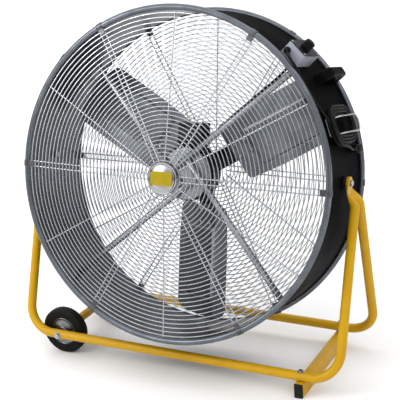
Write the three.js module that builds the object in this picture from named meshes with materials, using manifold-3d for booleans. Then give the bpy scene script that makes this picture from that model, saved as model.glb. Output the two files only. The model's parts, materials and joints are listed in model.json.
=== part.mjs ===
// Drum fan on a two-wheeled tube stand. Millimetres, +Z up, air blows towards -Y.
// Two bent tube frames lean together and carry the drum on two pivots, so that it tilts.
import * as THREE from 'three';
import { mergeVertices } from 'three/addons/utils/BufferGeometryUtils.js';
import { ConvexGeometry } from 'three/addons/geometries/ConvexGeometry.js';
import Module from 'manifold-3d';

/* ------------------------------------------------------------------ driving dimensions */

// Clearances
const seatGap = 0.3; // between pieces that touch
const boltPlay = 0.3; // radial, round a bolt in its hole

// Stand
const tubeRadius = 14;
const railHalfSpacing = 175; // rail centre lines, front and rear
const uprightClear = 37; // upright centre lines outside the drum's wall
const frameBend = 85; // bend radius of the frame tubes
const drumClear = 55; // rail centre lines below the drum's wall, about the pivot
const tongueWidth = 38; // flattened tube ends
const tongueThick = 4;
const tongueLength = 24; // straight flat below the pivot hole
const flattenLength = 45; // tube running over into the flat
const axleInset = 113; // wheel axle and foot bar inside the upright centre lines
const footBarWidth = 27;
const footBarHeight = 44.7;
const footBarOverhang = 20; // past the rail centre lines
const capFlange = 4;
const capPlug = 14;
const footBoltRadius = 4;
const footBoltBite = 12;

// Wheels
const wheelRadius = 75;
const tyreWidth = 36;
const rimRadius = 44.6;
const wheelInset = 36; // middle of each tyre inside the rail centre line
const axleBoltRadius = 6;
const axleBoltBite = 22;
const axleTubeClear = 20; // end of the axle tube to the middle of the tyre

// Drum
const drumTilt = -11.7; // degrees at rest, front up
const pivotY = -5; // pivot in the drum's own frame
const pivotZ = 15;
const shellRadius = 483;
const shellThick = 3;
const beadOverhang = 3; // edge rings: centre circle outside the wall's face, section and place
const beadRadius = 9;
const beadY = 147;
const beadSides = 6;
const drumSegments = 48;
const pivotBoltRadius = 5;
const spacerRadius = 18;
const spacerLength = 8.8;

// Grilles
const wireRadius = 2.1;
const wireRings = 5; // rings of each grille
const innerRing = 52;
const outerRingInset = 16; // outermost ring inside the edge ring's centre circle
const domeHeight = 35;
const grilleY = 150; // outermost ring from the drum's middle
const ribPairHalf = 8;
const ribStart = 36;
const clipWidth = 18;
const clipThick = 1.6;
const capRadius = 47;
const capDepth = 14;

// Motor and its support
const supportRadius = 9.5;
const supportY = -48;
const supportAngle = 40.4; // degrees
const supportOffset = 32;
const mountRadius = 78;
const mountThick = 3;
const motorRadius = 85;
const motorLength = 87;
const motorSides = 24;
const terminalHalfWidth = 42;
const terminalTop = 150;
const terminalLength = 56;
const terminalY = 10;
const leadRadius = 4;

// Impeller
const fanY = 90;
const tipClear = 18; // blade tips to the wall
const bladeRoot = 108;
const bladeChord = 206;
const bladeRootWidth = 190;
const bladeFlap = 51; // from the middle to where the anticlockwise edge is bent back
const bladeFlapSlope = 0.25;
const bladeShoulder = 120; // full width this far out from the root
const bladeCrown = 14; // tip's middle beyond its corners
const bladePitch = 23; // degrees
const bladeCamber = 12;
const bladeThick = 2;
const bladeAngle = 30.5; // first blade, degrees
const shaftRadius = 10;
const hubRadius = 30;
const hubLength = 50;
const spiderWidth = 62;
const spiderThick = 5;

// Controls, handles, hanger
const boxAngle = 47;
const boxY = -46;
const boxWidth = 61;
const boxLength = 118;
const boxHeight = 42.7;
const coverOverhang = 1.5;
const coverThick = 2;
const knobRadius = 16;
const knobHeight = 24;
const knobFlutes = 12;
const spindleRadius = 3;
const glandRadius = 7.5;
const handleAngle = 37.6;
const handleRightY = 62;
const handleLeftY = -18;
const handleLength = 144;
const handleRise = 52;
const handleWidth = 30;
const gripThick = 16;
const hangerWire = 2.5;
const hangerHalfWidth = 24;
const hangerFront = -89;
const hangerBack = 111;
const hangerLift = 28; // height of the raised part over the shell

// Power cord
const cordRadius = 4;
const coilAngle = 20.8;
const coilY = -3;
const coilStraight = 36; // half of a loop's straight run
const coilHalfWidth = 57; // outermost loop
const lanePitch = 8.7;
const coilTurns = 6;
const lowerLift = 11.9; // cord centre lines over the wall
const upperLift = 20.7;
const plugLift = 15; // plug and its end of the cord
const plugAcross = -75; // round the drum from the coil's middle
const plugAlong = 58;
const plugLength = 40;
const plugHalfWidth = 13;

/* ------------------------------------------------------------------ worked-out sizes */

const shellInner = shellRadius - shellThick;
const uprightX = shellRadius + uprightClear;
const axleX = uprightX - axleInset;
const pivotRise = shellRadius + drumClear;
const footBarHalfLength = railHalfSpacing + footBarOverhang;
const wheelY = railHalfSpacing - wheelInset;
const axleTubeHalfLength = wheelY - axleTubeClear;
const beadRing = shellRadius + beadOverhang;
const outerRing = beadRing - outerRingInset;
const bladeTip = shellInner - tipClear;
const lowerLayer = shellRadius + lowerLift;
const upperLayer = shellRadius + upperLift;
const plugLayer = shellRadius + plugLift;
const facet = Math.cos(Math.PI / drumSegments); // a facet's middle lies this much nearer
const beadFlat = beadRadius * Math.cos(Math.PI / beadSides); // a flat of the section faces the shell
const shellHalf = beadY - beadFlat - seatGap;
const footRise = footBarHeight + tubeRadius + 2 * seatGap;
const lean = Math.asin((wheelRadius - footRise) / (2 * axleX));
const frameLean = Math.atan2(railHalfSpacing, pivotRise);
const frameHeight = Math.hypot(railHalfSpacing, pivotRise);
const rearTongueX = shellRadius + seatGap + spacerLength + seatGap + tongueThick / 2;
const frontTongueX = rearTongueX + tongueThick + 2 * seatGap;
const motorFront = supportY + supportRadius + seatGap + mountThick + seatGap;
const motorBack = motorFront + motorLength;

/* ------------------------------------------------------------------ helpers */

const kernel = await Module();
kernel.setup();

const rad = THREE.MathUtils.degToRad;
const vec = (x, y, z) => new THREE.Vector3(x, y, z);
const [X, Y, Z] = [vec(1, 0, 0), vec(0, 1, 0), vec(0, 0, 1)];

// Outlines are drawn in a plane and then given depth along one axis.
const facing = {
  x: new THREE.Matrix4().makeBasis(Y, Z, X),
  y: new THREE.Matrix4().makeBasis(Z, X, Y),
  z: new THREE.Matrix4(),
};

// A point of the drum's frame: angle from +X towards +Z, as seen from the front.
function polar(radius, angle, y) {
  return vec(radius * Math.cos(rad(angle)), y, radius * Math.sin(rad(angle)));
}

// A curve that passes straight from one given station to the next.
class StationCurve extends THREE.Curve {
  constructor(stations) {
    super();
    this.stations = stations;
  }
  getPoint(t, target = new THREE.Vector3()) {
    const place = t * (this.stations.length - 1);
    const first = Math.min(Math.floor(place), this.stations.length - 2);
    return target.lerpVectors(this.stations[first], this.stations[first + 1], place - first);
  }
  getPointAt(u, target) {
    return this.getPoint(u, target);
  }
  getTangentAt(u, target) {
    return this.getTangent(u, target);
  }
}

function circle(radius, sides) {
  const corner = (_, i) => new THREE.Vector2().set(
    radius * Math.cos((2 * Math.PI * i) / sides), radius * Math.sin((2 * Math.PI * i) / sides));
  return new THREE.Shape(Array.from({ length: sides }, corner));
}

// A round bar through the stations.
function bar(stations, radius, sides) {
  return new THREE.ExtrudeGeometry(circle(radius, sides), {
    steps: stations.length - 1,
    extrudePath: new StationCurve(stations),
  });
}

// Each inner corner of a chain of points becomes an arc of its radius.
function rounded(corners, radii, steps) {
  const points = [corners[0]];
  for (let i = 1; i < corners.length - 1; i += 1) {
    const radius = Array.isArray(radii) ? radii[i - 1] : radii;
    const back = corners[i - 1].clone().sub(corners[i]).normalize();
    const ahead = corners[i + 1].clone().sub(corners[i]).normalize();
    const half = back.angleTo(ahead) / 2;
    const middle = back.clone().add(ahead).normalize();
    const centre = middle.multiplyScalar(radius / Math.sin(half)).add(corners[i]);
    const spoke = back.clone().multiplyScalar(radius / Math.tan(half)).add(corners[i]).sub(centre);
    const axis = ahead.clone().cross(back).normalize().negate();
    for (let k = 0; k <= steps; k += 1) {
      const turn = ((Math.PI - 2 * half) * k) / steps;
      points.push(spoke.clone().applyAxisAngle(axis, -turn).add(centre));
    }
  }
  points.push(corners.at(-1));
  return points;
}

function roundedRectangle(width, height, radius, steps = 3) {
  const [w, h] = [width / 2, height / 2];
  const corners = [vec(0, -h, 0), vec(w, -h, 0), vec(w, h, 0), vec(-w, h, 0), vec(-w, -h, 0), vec(0, -h, 0)];
  return new THREE.Shape(rounded(corners, radius, steps).slice(1));
}

// An outline with depth along an axis, centred on its depth.
function prism(shape, depth, axis = 'z') {
  const geometry = new THREE.ExtrudeGeometry(shape, { depth, bevelEnabled: false });
  return geometry.translate(0, 0, -depth / 2).applyMatrix4(facing[axis]);
}

// A strip of even thickness along a chain of points, as an outline.
function strip(points, thickness) {
  const sideOf = (p, i) => {
    const before = points[Math.max(i - 1, 0)];
    const after = points[Math.min(i + 1, points.length - 1)];
    const run = after.clone().sub(before).normalize();
    return new THREE.Vector2(-run.y, run.x).multiplyScalar(thickness / 2);
  };
  const left = points.map((p, i) => p.clone().add(sideOf(p, i)));
  const right = points.map((p, i) => p.clone().sub(sideOf(p, i)));
  return new THREE.Shape([...right, ...left.reverse()]);
}

// A body of revolution about Y from [radius, y] pairs.
function lathe(profile, segments) {
  const points = profile.map(([r, y]) => new THREE.Vector2(r, y));
  if (profile[0][0] > 0) points.push(points[0].clone());
  return new THREE.LatheGeometry(points, segments);
}

function rod(radius, length, axis, sides = 12) {
  const geometry = new THREE.CylinderGeometry(radius, radius, length, sides);
  if (axis === 'x') geometry.rotateZ(-Math.PI / 2);
  if (axis === 'z') geometry.rotateX(Math.PI / 2);
  return geometry;
}

// A bolt with its head outwards along +Y, the seat of the head at y = 0.
function bolt(shankRadius, length, headRadius, headHeight, nutAt = []) {
  return lathe([
    [0, -length], [shankRadius, -length], ...nutAt, [shankRadius, 0],
    [headRadius, 0], [headRadius, headHeight * 0.6], [headRadius * 0.7, headHeight], [0, headHeight],
  ], 12);
}

// Geometry as a solid for joining and cutting, and back.
function solid(geometry) {
  const bare = geometry.clone();
  bare.deleteAttribute('normal');
  bare.deleteAttribute('uv');
  const merged = mergeVertices(bare, 1e-3);
  return new kernel.Manifold(new kernel.Mesh({
    numProp: 3,
    vertProperties: merged.attributes.position.array,
    triVerts: new Uint32Array(merged.index.array),
  }));
}

function shaped(body) {
  const { vertProperties, triVerts } = body.getMesh();
  const geometry = new THREE.BufferGeometry();
  geometry.setAttribute('position', new THREE.BufferAttribute(vertProperties, 3));
  geometry.setIndex(new THREE.BufferAttribute(triVerts, 1));
  geometry.computeVertexNormals();
  return geometry;
}

const joined = (...pieces) => pieces.map(solid).reduce((all, piece) => all.add(piece));
const cut = (body, ...tools) => tools.map(solid).reduce((rest, tool) => rest.subtract(tool), body);

const finish = (color, roughness, metalness) => ({ color, roughness, metalness });
const looks = {
  yellow: finish(0xe3ae10, 0.35, 0.1),
  black: finish(0x17181a, 0.45, 0.2),
  rubber: finish(0x151515, 0.85, 0),
  plastic: finish(0x1b1b1c, 0.6, 0),
  steel: finish(0xb9bcbf, 0.3, 0.9),
  galvanised: finish(0x9a9ea3, 0.45, 0.8),
  wire: finish(0xa8abae, 0.35, 0.85),
  grey: finish(0xc9cccd, 0.5, 0),
  plate: finish(0xe6c21e, 0.4, 0),
};

function piece(parent, name, geometry, look) {
  const mesh = new THREE.Mesh(geometry, new THREE.MeshStandardMaterial(looks[look]));
  mesh.name = name;
  parent.add(mesh);
  return mesh;
}

function group(parent, place = vec(0, 0, 0)) {
  const made = new THREE.Group();
  made.position.copy(place);
  parent.add(made);
  return made;
}

// A seat on the drum: X runs clockwise round it, Y to the rear, Z outwards.
function seat(parent, angle, y = 0) {
  const made = group(parent, vec(0, y, 0));
  made.rotation.y = rad(90 - angle);
  return made;
}

/* ------------------------------------------------------------------ groups */

const fan = new THREE.Group();
const floor = group(fan); // level, its origin on the floor below the rails' middle
const stand = group(floor, vec(-axleX, 0, wheelRadius)); // leaning, its origin on the axle
stand.rotation.y = lean;
stand.updateMatrix();
const pivot = group(stand, vec(axleX, 0, pivotRise));
pivot.rotation.x = rad(drumTilt);
const drum = group(pivot, vec(0, -pivotY, -pivotZ));
const impeller = group(drum, vec(0, fanY, 0));

/* ------------------------------------------------------------------ tube frames */

// Frame coordinates: X along the rail, Z up in the frame's plane, Y square to it.
const frameCorners = [
  vec(-uprightX, 0, frameHeight - tongueLength - flattenLength),
  vec(-uprightX, 0, 0),
  vec(uprightX, 0, 0),
  vec(uprightX, 0, frameHeight - tongueLength - flattenLength),
];

// Flattened end of an upright at height frameHeight, made larger all round by grow.
function tongue(end, tongueX, grow = 0) {
  const flatStart = frameHeight - tongueLength;
  const thick = tongueThick / 2 + grow;
  const wide = tongueWidth / 2 + grow;
  const outline = new THREE.Shape();
  outline.absarc(0, frameHeight, wide, 0, Math.PI, false);
  outline.lineTo(-wide, flatStart - 1);
  outline.lineTo(wide, flatStart - 1);
  const depth = 2 * thick;
  const plate = new THREE.ExtrudeGeometry(outline, { depth, bevelEnabled: false, curveSegments: 8 });
  plate.translate(0, 0, -thick).applyMatrix4(facing.x).translate(end * tongueX, 0, 0);
  const corners = circle(tubeRadius + grow, 12).getPoints().map(
    (p) => vec(end * uprightX + p.x, p.y, flatStart - flattenLength - 1 - grow));
  for (const [dx, dy] of [[-1, -1], [1, -1], [1, 1], [-1, 1]]) {
    corners.push(vec(end * tongueX + dx * thick, dy * wide, flatStart));
  }
  return joined(plate, new ConvexGeometry(corners));
}

// Places a frame's coordinates in the stand: side is -1 for the front, 1 for the rear.
const framePlace = (side) => new THREE.Matrix4()
  .makeRotationX(side * frameLean)
  .setPosition(axleX, side * railHalfSpacing, 0);

const placed = (body, matrix) => solid(shaped(body).applyMatrix4(matrix));

function tubeFrame(side, tongueX) {
  const tube = solid(bar(rounded(frameCorners, frameBend, 5), tubeRadius, 12));
  const body = tube.add(tongue(-1, tongueX)).add(tongue(1, tongueX));
  const boltHole = rod(pivotBoltRadius + boltPlay, 2 * uprightX, 'x').translate(0, 0, frameHeight);
  const axleHole = rod(axleBoltRadius + boltPlay, 4 * tubeRadius, 'y')
    .translate(0, side * railHalfSpacing, 0);
  const footHole = rod(footBoltRadius + boltPlay, 4 * tubeRadius, 'z')
    .translate(2 * axleX, side * railHalfSpacing, 0);
  return cut(placed(cut(body, boltHole), framePlace(side)), axleHole, footHole);
}

const frontFrame = tubeFrame(-1, frontTongueX);
const frontEnds = [-1, 1].map((end) => placed(tongue(end, frontTongueX, seatGap), framePlace(-1)));
const rearFrame = frontEnds.reduce((rest, tool) => rest.subtract(tool), tubeFrame(1, rearTongueX));
piece(stand, 'front_frame', shaped(frontFrame), 'yellow');
piece(stand, 'rear_frame', shaped(rearFrame), 'yellow');

/* ------------------------------------------------------------------ foot bar */

const footBarX = -axleX + 2 * axleX * Math.cos(lean);
const footBolts = [];
for (const [end, side] of [['front', -1], ['rear', 1]]) {
  const shank = tubeRadius * 2 + 3 * seatGap + footBoltBite;
  const mesh = piece(stand, `foot_bolt_${end}`, bolt(footBoltRadius, shank, 9, 6), 'steel');
  mesh.rotation.x = Math.PI / 2;
  mesh.position.set(2 * axleX, side * railHalfSpacing, tubeRadius + seatGap);
  footBolts.push(
    rod(footBoltRadius + boltPlay, 2 * (footBoltBite + boltPlay) + 1, 'z')
      .translate(2 * axleX, side * railHalfSpacing, -tubeRadius - 2 * seatGap - 0.5)
      .applyMatrix4(stand.matrix));
}
const footSection = roundedRectangle(footBarHeight, footBarWidth, 4);
const plugSection = (play) => roundedRectangle(footBarHeight - 5 - 2 * play, footBarWidth - 5 - 2 * play, 2);
const footBar = cut(
  solid(prism(footSection, 2 * footBarHalfLength, 'y')),
  ...[-1, 1].map((side) => prism(plugSection(0), 2 * (capPlug + seatGap), 'y')
    .translate(0, side * footBarHalfLength, 0)));
const footPlace = new THREE.Matrix4().makeTranslation(footBarX, 0, footBarHeight / 2);
piece(floor, 'foot_bar', shaped(cut(placed(footBar, footPlace), ...footBolts)), 'yellow');

for (const [end, side] of [['front', -1], ['rear', 1]]) {
  const flange = prism(footSection, capFlange, 'y').translate(0, side * (seatGap + capFlange / 2), 0);
  const plug = prism(plugSection(seatGap), capPlug + seatGap + 1, 'y')
    .translate(0, side * (seatGap + 1 - (capPlug + seatGap + 1) / 2), 0);
  const cap = piece(floor, `foot_cap_${end}`, shaped(joined(flange, plug)), 'plastic');
  cap.position.set(footBarX, side * footBarHalfLength, footBarHeight / 2);
}

/* ------------------------------------------------------------------ axle and wheels */

const axleBore = axleBoltBite + boltPlay;
const axleTube = cut(
  solid(rod(tubeRadius, 2 * axleTubeHalfLength, 'y', 16)),
  ...[-1, 1].map((side) => rod(axleBoltRadius + boltPlay, 2 * axleBore, 'y')
    .translate(0, side * axleTubeHalfLength, 0)));
piece(stand, 'axle_tube', shaped(axleTube), 'yellow');

const hubOuter = railHalfSpacing - tubeRadius - seatGap - wheelY;
const hubInner = wheelY - axleTubeHalfLength - seatGap;
const bore = axleBoltRadius + boltPlay;
const half = tyreWidth / 2;
const discProfile = [
  [bore, -hubOuter], [16, -hubOuter], [18, -half + 1.5], [rimRadius, -half + 1.5],
  [rimRadius, half - 1.5], [rimRadius - 4, half - 1.5], [rimRadius - 5, -half + 6.5],
  [16, -half + 6.5], [16, hubInner], [bore, hubInner],
];
const tyreInner = (rimRadius + seatGap) / Math.cos(Math.PI / 24);
const tyreProfile = [
  [tyreInner, -half + 2], [wheelRadius * 0.86, -half], [wheelRadius * 0.96, -half + 4],
  [wheelRadius, -half + 10], [wheelRadius, half - 10], [wheelRadius * 0.96, half - 4],
  [wheelRadius * 0.86, half], [tyreInner, half - 2],
];
for (const [end, side] of [['front', -1], ['rear', 1]]) {
  const wheel = group(floor, vec(-axleX, side * wheelY, wheelRadius));
  wheel.rotation.z = side > 0 ? Math.PI : 0;
  piece(wheel, `${end}_tyre`, lathe(tyreProfile, 24), 'rubber');
  piece(wheel, `${end}_wheel_disc`, lathe(discProfile, 24), 'steel');
  const reach = railHalfSpacing + tubeRadius + seatGap;
  const axleBolt = piece(
    stand, `axle_bolt_${end}`,
    bolt(axleBoltRadius, reach - axleTubeHalfLength + axleBoltBite, 11, 7), 'steel');
  axleBolt.position.y = side * reach;
  axleBolt.rotation.z = side > 0 ? 0 : Math.PI;
}

/* ------------------------------------------------------------------ drum shell and edges */

const leadHole = rod(leadRadius + boltPlay, 6 * shellThick, 'z').translate(0, boxY, shellRadius)
  .rotateY(rad(90 - boxAngle));
const pivotHoles = rod(pivotBoltRadius + boltPlay, 3 * shellRadius, 'x').translate(0, pivotY, pivotZ);
const wall = solid(lathe(
  [[shellInner, -shellHalf], [shellRadius, -shellHalf], [shellRadius, shellHalf], [shellInner, shellHalf]],
  drumSegments));
piece(drum, 'drum_shell', shaped(cut(wall, leadHole, pivotHoles)), 'black');

for (const [end, side] of [['front', -1], ['rear', 1]]) {
  const section = circle(beadRadius, beadSides).getPoints().slice(0, beadSides)
    .map((p) => [beadRing + p.x, side * beadY + p.y]);
  piece(drum, `${end}_edge_ring`, lathe(section, drumSegments), 'steel');
}

/* ------------------------------------------------------------------ grilles, clips and cap */

const dome = (radius) => grilleY + domeHeight * (1 - radius / outerRing) ** 1.15;
const ribSink = 1.25 * wireRadius; // rib centre line behind the rings
const ribEnd = (beadRing - beadRadius) * facet - seatGap;

function grille(side) {
  const rings = [];
  for (let k = 0; k < wireRings; k += 1) {
    const radius = THREE.MathUtils.lerp(outerRing, innerRing, k / (wireRings - 1));
    const section = [0, 1, 2].map((i) => {
      const turn = -side * Math.PI / 2 + (2 * Math.PI * i) / 3;
      return [radius + wireRadius * Math.cos(turn), side * dome(radius) + wireRadius * Math.sin(turn)];
    });
    rings.push(lathe(section, 24));
  }
  const ribs = [];
  for (let k = 0; k < 12; k += 1) {
    const offsets = k % 2 ? [0] : [-ribPairHalf, ribPairHalf];
    for (const offset of offsets) {
      const reach = Math.sqrt(ribEnd ** 2 - offset ** 2);
      const stations = [0, 0.5, 1].map((t) => {
        const radius = THREE.MathUtils.lerp(ribStart, reach, t);
        return vec(offset, side * (dome(Math.min(radius, outerRing)) - ribSink), radius);
      });
      ribs.push(bar(stations, wireRadius, 3).rotateY(rad(90 - 30 * k)));
    }
  }
  return shaped(joined(...rings, ...ribs));
}

// A hook from the outermost ring round the edge ring, as a strip outline in Z and Y.
function clipGeometry(side) {
  const reach = (beadRadius + seatGap) / Math.cos(Math.PI / 11) + clipThick / 2;
  const lip = grilleY + wireRadius + seatGap + clipThick / 2 - beadY;
  const start = Math.PI - Math.asin(lip / reach);
  const end = -Math.PI / 4;
  const path = [new THREE.Vector2(outerRing - 8, beadY + lip)];
  for (let i = 0; i <= 7; i += 1) {
    const turn = THREE.MathUtils.lerp(start, end, i / 7);
    path.push(new THREE.Vector2(beadRing + reach * Math.cos(turn), beadY + reach * Math.sin(turn)));
  }
  const geometry = prism(strip(path.reverse(), clipThick), clipWidth, 'z');
  const basis = side > 0
    ? new THREE.Matrix4().makeBasis(Z, Y, X.clone().negate())
    : new THREE.Matrix4().makeBasis(Z, Y.clone().negate(), X);
  return geometry.applyMatrix4(basis);
}

for (const [end, side] of [['front', -1], ['rear', 1]]) {
  piece(drum, `${end}_grille`, grille(side), 'wire');
  for (let k = 0; k < 6; k += 1) {
    piece(seat(drum, 60 * k), `${end}_clip_${k + 1}`, clipGeometry(side), 'steel');
  }
}

const capBack = -(dome(ribStart) - ribSink + wireRadius + seatGap);
const capProfile = [
  [0, -capDepth], [capRadius * 0.6, -capDepth + 1], [capRadius * 0.86, -capDepth + 3],
  [capRadius * 0.92, -capDepth], [capRadius, -capDepth + 3], [capRadius, 0], [0, 0],
];
const cap = group(drum, vec(0, capBack, 0));
piece(cap, 'grille_cap', lathe(capProfile, 24), 'steel');
const plate = piece(cap, 'cap_plate', prism(roundedRectangle(42, 70, 6), 1.4, 'y'), 'plate');
plate.position.y = -capDepth - seatGap - 0.7;

/* ------------------------------------------------------------------ motor and its support */

// The wall's inner face at an angle, on the shell's facets.
function wallAt(angle) {
  const step = 360 / drumSegments;
  return (shellInner * facet) / Math.cos(rad((angle % step) - step / 2));
}
const supportCorner = supportOffset + supportRadius;
const supportFoot = supportAngle + THREE.MathUtils.radToDeg(Math.asin(supportCorner / shellInner));
const supportReach = Math.sqrt((wallAt(supportFoot) - seatGap) ** 2 - supportCorner ** 2);
const supportStart = -supportOffset + supportRadius + seatGap;
for (let k = 0; k < 4; k += 1) {
  const tube = rod(supportRadius, supportReach - supportStart, 'z', 10)
    .translate(-supportOffset, supportY, (supportReach + supportStart) / 2);
  piece(seat(drum, supportAngle + 90 * k), `support_tube_${k + 1}`, tube, 'galvanised');
}
const mount = piece(drum, 'motor_mount', rod(mountRadius, mountThick, 'y', 24), 'galvanised');
mount.position.y = supportY + supportRadius + seatGap + mountThick / 2;

const shaftBore = 14;
const motorProfile = [
  [0, motorFront], [mountRadius, motorFront], [motorRadius, motorFront + 10],
  [motorRadius, motorBack - 22], [motorRadius - 10, motorBack - 18], [motorRadius - 28, motorBack - 3],
  [motorRadius - 50, motorBack], [shaftRadius + boltPlay, motorBack],
  [shaftRadius + boltPlay, motorBack - shaftBore], [0, motorBack - shaftBore],
];
piece(drum, 'motor_body', lathe(motorProfile, motorSides), 'black');

const terminalBase = motorRadius - 25;
const leadEntry = terminalTop - 32;
const terminalBox = cut(
  solid(prism(roundedRectangle(2 * terminalHalfWidth, terminalTop - terminalBase, 6), terminalLength, 'y')
    .rotateY(Math.PI / 2).translate(0, terminalY, (terminalTop + terminalBase) / 2)),
  rod(motorRadius + seatGap, motorLength, 'y', motorSides).translate(0, terminalY, 0));
piece(drum, 'terminal_box', shaped(terminalBox), 'black');

// The lead enters under the control box and follows the upper right support tube.
const leadRoute = [
  polar(shellRadius, boxAngle, boxY),
  polar(shellInner - 14, boxAngle, boxY),
  polar(shellInner - 34, boxAngle, boxY + 8),
  polar(shellInner * 0.833, boxAngle + 0.4, boxY + 14),
  polar(shellInner * 0.625, boxAngle + 2.6, boxY + 18),
  polar(shellInner * 0.4375, boxAngle + 6.5, boxY + 28),
  vec(terminalHalfWidth + 58, terminalY - 10, leadEntry + 19),
  vec(terminalHalfWidth + 30, terminalY - 2, leadEntry + 5),
  vec(terminalHalfWidth + 18, terminalY, leadEntry),
  vec(terminalHalfWidth + seatGap, terminalY, leadEntry),
];
piece(drum, 'motor_lead', bar(leadRoute, leadRadius, 8), 'plastic');

/* ------------------------------------------------------------------ impeller */

const shaftStart = motorBack - shaftBore + seatGap - fanY;
const shaftEnd = hubLength / 2 + 12;
const shaft = piece(impeller, 'motor_shaft', rod(shaftRadius, shaftEnd - shaftStart, 'y', 16), 'steel');
shaft.position.y = (shaftStart + shaftEnd) / 2;

const spiderSink = bladeCamber + bladeThick / 2 + seatGap + spiderThick / 2;
const armStart = hubRadius / 2;
const armEnd = bladeRoot + 87;
const arm = () => prism(roundedRectangle(spiderWidth, armEnd - armStart, 12), spiderThick, 'z')
  .rotateX(Math.PI / 2)
  .translate(0, spiderSink, (armStart + armEnd) / 2)
  .rotateZ(rad(bladePitch));
const hubBore = shaftRadius + boltPlay;
const hubBody = joined(
  lathe([
    [hubBore, -hubLength / 2], [hubRadius, -hubLength / 2], [hubRadius, hubLength / 2],
    [hubBore, hubLength / 2],
  ], 20),
  ...[0, 1, 2].map((k) => arm().rotateY(rad(90 - bladeAngle - 120 * k))));
const shaftClearance = rod(hubBore + 0.2, 2 * hubLength, 'y', 20);
piece(impeller, 'fan_hub', shaped(cut(hubBody, shaftClearance)), 'black');

// A cambered sheet, pitched so that its anticlockwise edge lies to the front, and bent back along that edge.
function bladeGeometry() {
  const chord = [];
  for (let i = 0; i <= 8; i += 1) {
    const c = i / 4 - 1;
    const across = (c * bladeChord) / 2;
    const bent = bladeFlapSlope * Math.max(0, -across - bladeFlap);
    chord.push(new THREE.Vector2(across, bladeCamber * (1 - c * c) + bent));
  }
  const outlineAcross = strip(chord, bladeThick);
  const sheet = new THREE.ExtrudeGeometry(outlineAcross, { depth: bladeTip, bevelEnabled: false });
  const edge = bladeChord / 2;
  const corners = [
    vec(0, bladeRoot, 0), vec(bladeRootWidth / 2, bladeRoot, 0), vec(edge, bladeRoot + bladeShoulder, 0),
    vec(edge, bladeTip - bladeCrown, 0), vec(0, bladeTip, 0), vec(-edge, bladeTip - bladeCrown, 0),
    vec(-edge, bladeRoot + bladeShoulder, 0), vec(-bladeRootWidth / 2, bladeRoot, 0), vec(0, bladeRoot, 0),
  ];
  const [rootRadius, shoulderRadius, tipRadius, crownRadius] = [18, 60, 30, 200];
  const radii = [rootRadius, shoulderRadius, tipRadius, crownRadius, tipRadius, shoulderRadius, rootRadius];
  const outline = new THREE.Shape(rounded(corners, radii, 4).slice(1));
  const plan = new THREE.ExtrudeGeometry(outline, { depth: bladeChord, bevelEnabled: false });
  plan.rotateX(Math.PI / 2).translate(0, bladeChord / 2, 0);
  return shaped(solid(sheet).intersect(solid(plan))).rotateZ(rad(bladePitch));
}
for (let k = 0; k < 3; k += 1) {
  piece(seat(impeller, bladeAngle + 120 * k), `fan_blade_${k + 1}`, bladeGeometry(), 'galvanised');
}

/* ------------------------------------------------------------------ controls */

const controls = seat(drum, boxAngle, boxY);
const boxBase = shellRadius + seatGap;
const boxTop = boxBase + boxHeight;
const coverTop = boxTop + seatGap + coverThick;
const spindle = 12;
const boxBody = cut(
  solid(prism(roundedRectangle(boxWidth, boxLength, 5), boxHeight).translate(0, 0, boxBase + boxHeight / 2)),
  rod(spindleRadius + boltPlay, 2 * spindle, 'z').translate(0, 0, boxTop));
piece(controls, 'control_box', shaped(boxBody), 'grey');
const cover = cut(
  solid(prism(roundedRectangle(boxWidth + 2 * coverOverhang, boxLength + 2 * coverOverhang, 6), coverThick)
    .translate(0, 0, coverTop - coverThick / 2)),
  rod(spindleRadius + boltPlay, 6 * coverThick, 'z').translate(0, 0, coverTop));
piece(controls, 'control_cover', shaped(cover), 'black');

const flutes = Array.from({ length: 2 * knobFlutes }, (_, i) => {
  const turn = (Math.PI * i) / knobFlutes;
  const reach = knobRadius - (i % 2) * 1.6;
  return new THREE.Vector2(reach * Math.cos(turn), reach * Math.sin(turn));
});
const knobStem = spindle + coverThick;
const knob = joined(
  prism(new THREE.Shape(flutes), knobHeight).translate(0, 0, knobHeight / 2),
  rod(spindleRadius, knobStem, 'z').translate(0, 0, 1 - knobStem / 2));
piece(controls, 'speed_knob', shaped(knob), 'plastic').position.z = coverTop + seatGap;

// The gland leaves the box's front and turns down towards the drum's side.
const glandZ = shellRadius + 18.5;
const glandX = -17;
const glandFace = -boxLength / 2 - seatGap;
const glandPath = rounded([
  vec(glandX, glandFace - 3, glandZ), vec(glandX, glandFace - 11, glandZ),
  vec(glandX + 8, glandFace - 19, glandZ + 0.5),
], 7, 3);
const gland = joined(
  bar(glandPath, glandRadius, 10),
  rod(glandRadius + 2.5, 5, 'y').translate(glandX, glandFace - 2.5, glandZ));
piece(controls, 'cable_gland', shaped(gland), 'plastic');

/* ------------------------------------------------------------------ tilt handles */

// A handle in Y and Z: feet on the shell, a gap for the fingers under the grip.
function handleGeometry() {
  const end = handleLength / 2;
  const under = handleRise - gripThick;
  const outside = [
    vec(-end, 0, 0), vec(-end + 4, handleRise * 0.5, 0), vec(-end + 16, handleRise, 0),
    vec(end - 16, handleRise, 0), vec(end - 4, handleRise * 0.5, 0), vec(end, 0, 0),
  ];
  const inside = [
    vec(end - 27, 0, 0), vec(end - 30, under, 0), vec(-end + 30, under, 0), vec(-end + 27, 0, 0),
  ];
  const outline = new THREE.Shape([...rounded(outside, [30, 18, 18, 30], 3), ...rounded(inside, 12, 3)]);
  return prism(outline, handleWidth, 'x').translate(0, 0, shellRadius + seatGap);
}
piece(seat(drum, handleAngle, handleRightY), 'tilt_handle_right', handleGeometry(), 'plastic');
piece(seat(drum, 180 - handleAngle, handleLeftY), 'tilt_handle_left', handleGeometry(), 'plastic');

/* ------------------------------------------------------------------ cable hanger */

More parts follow.
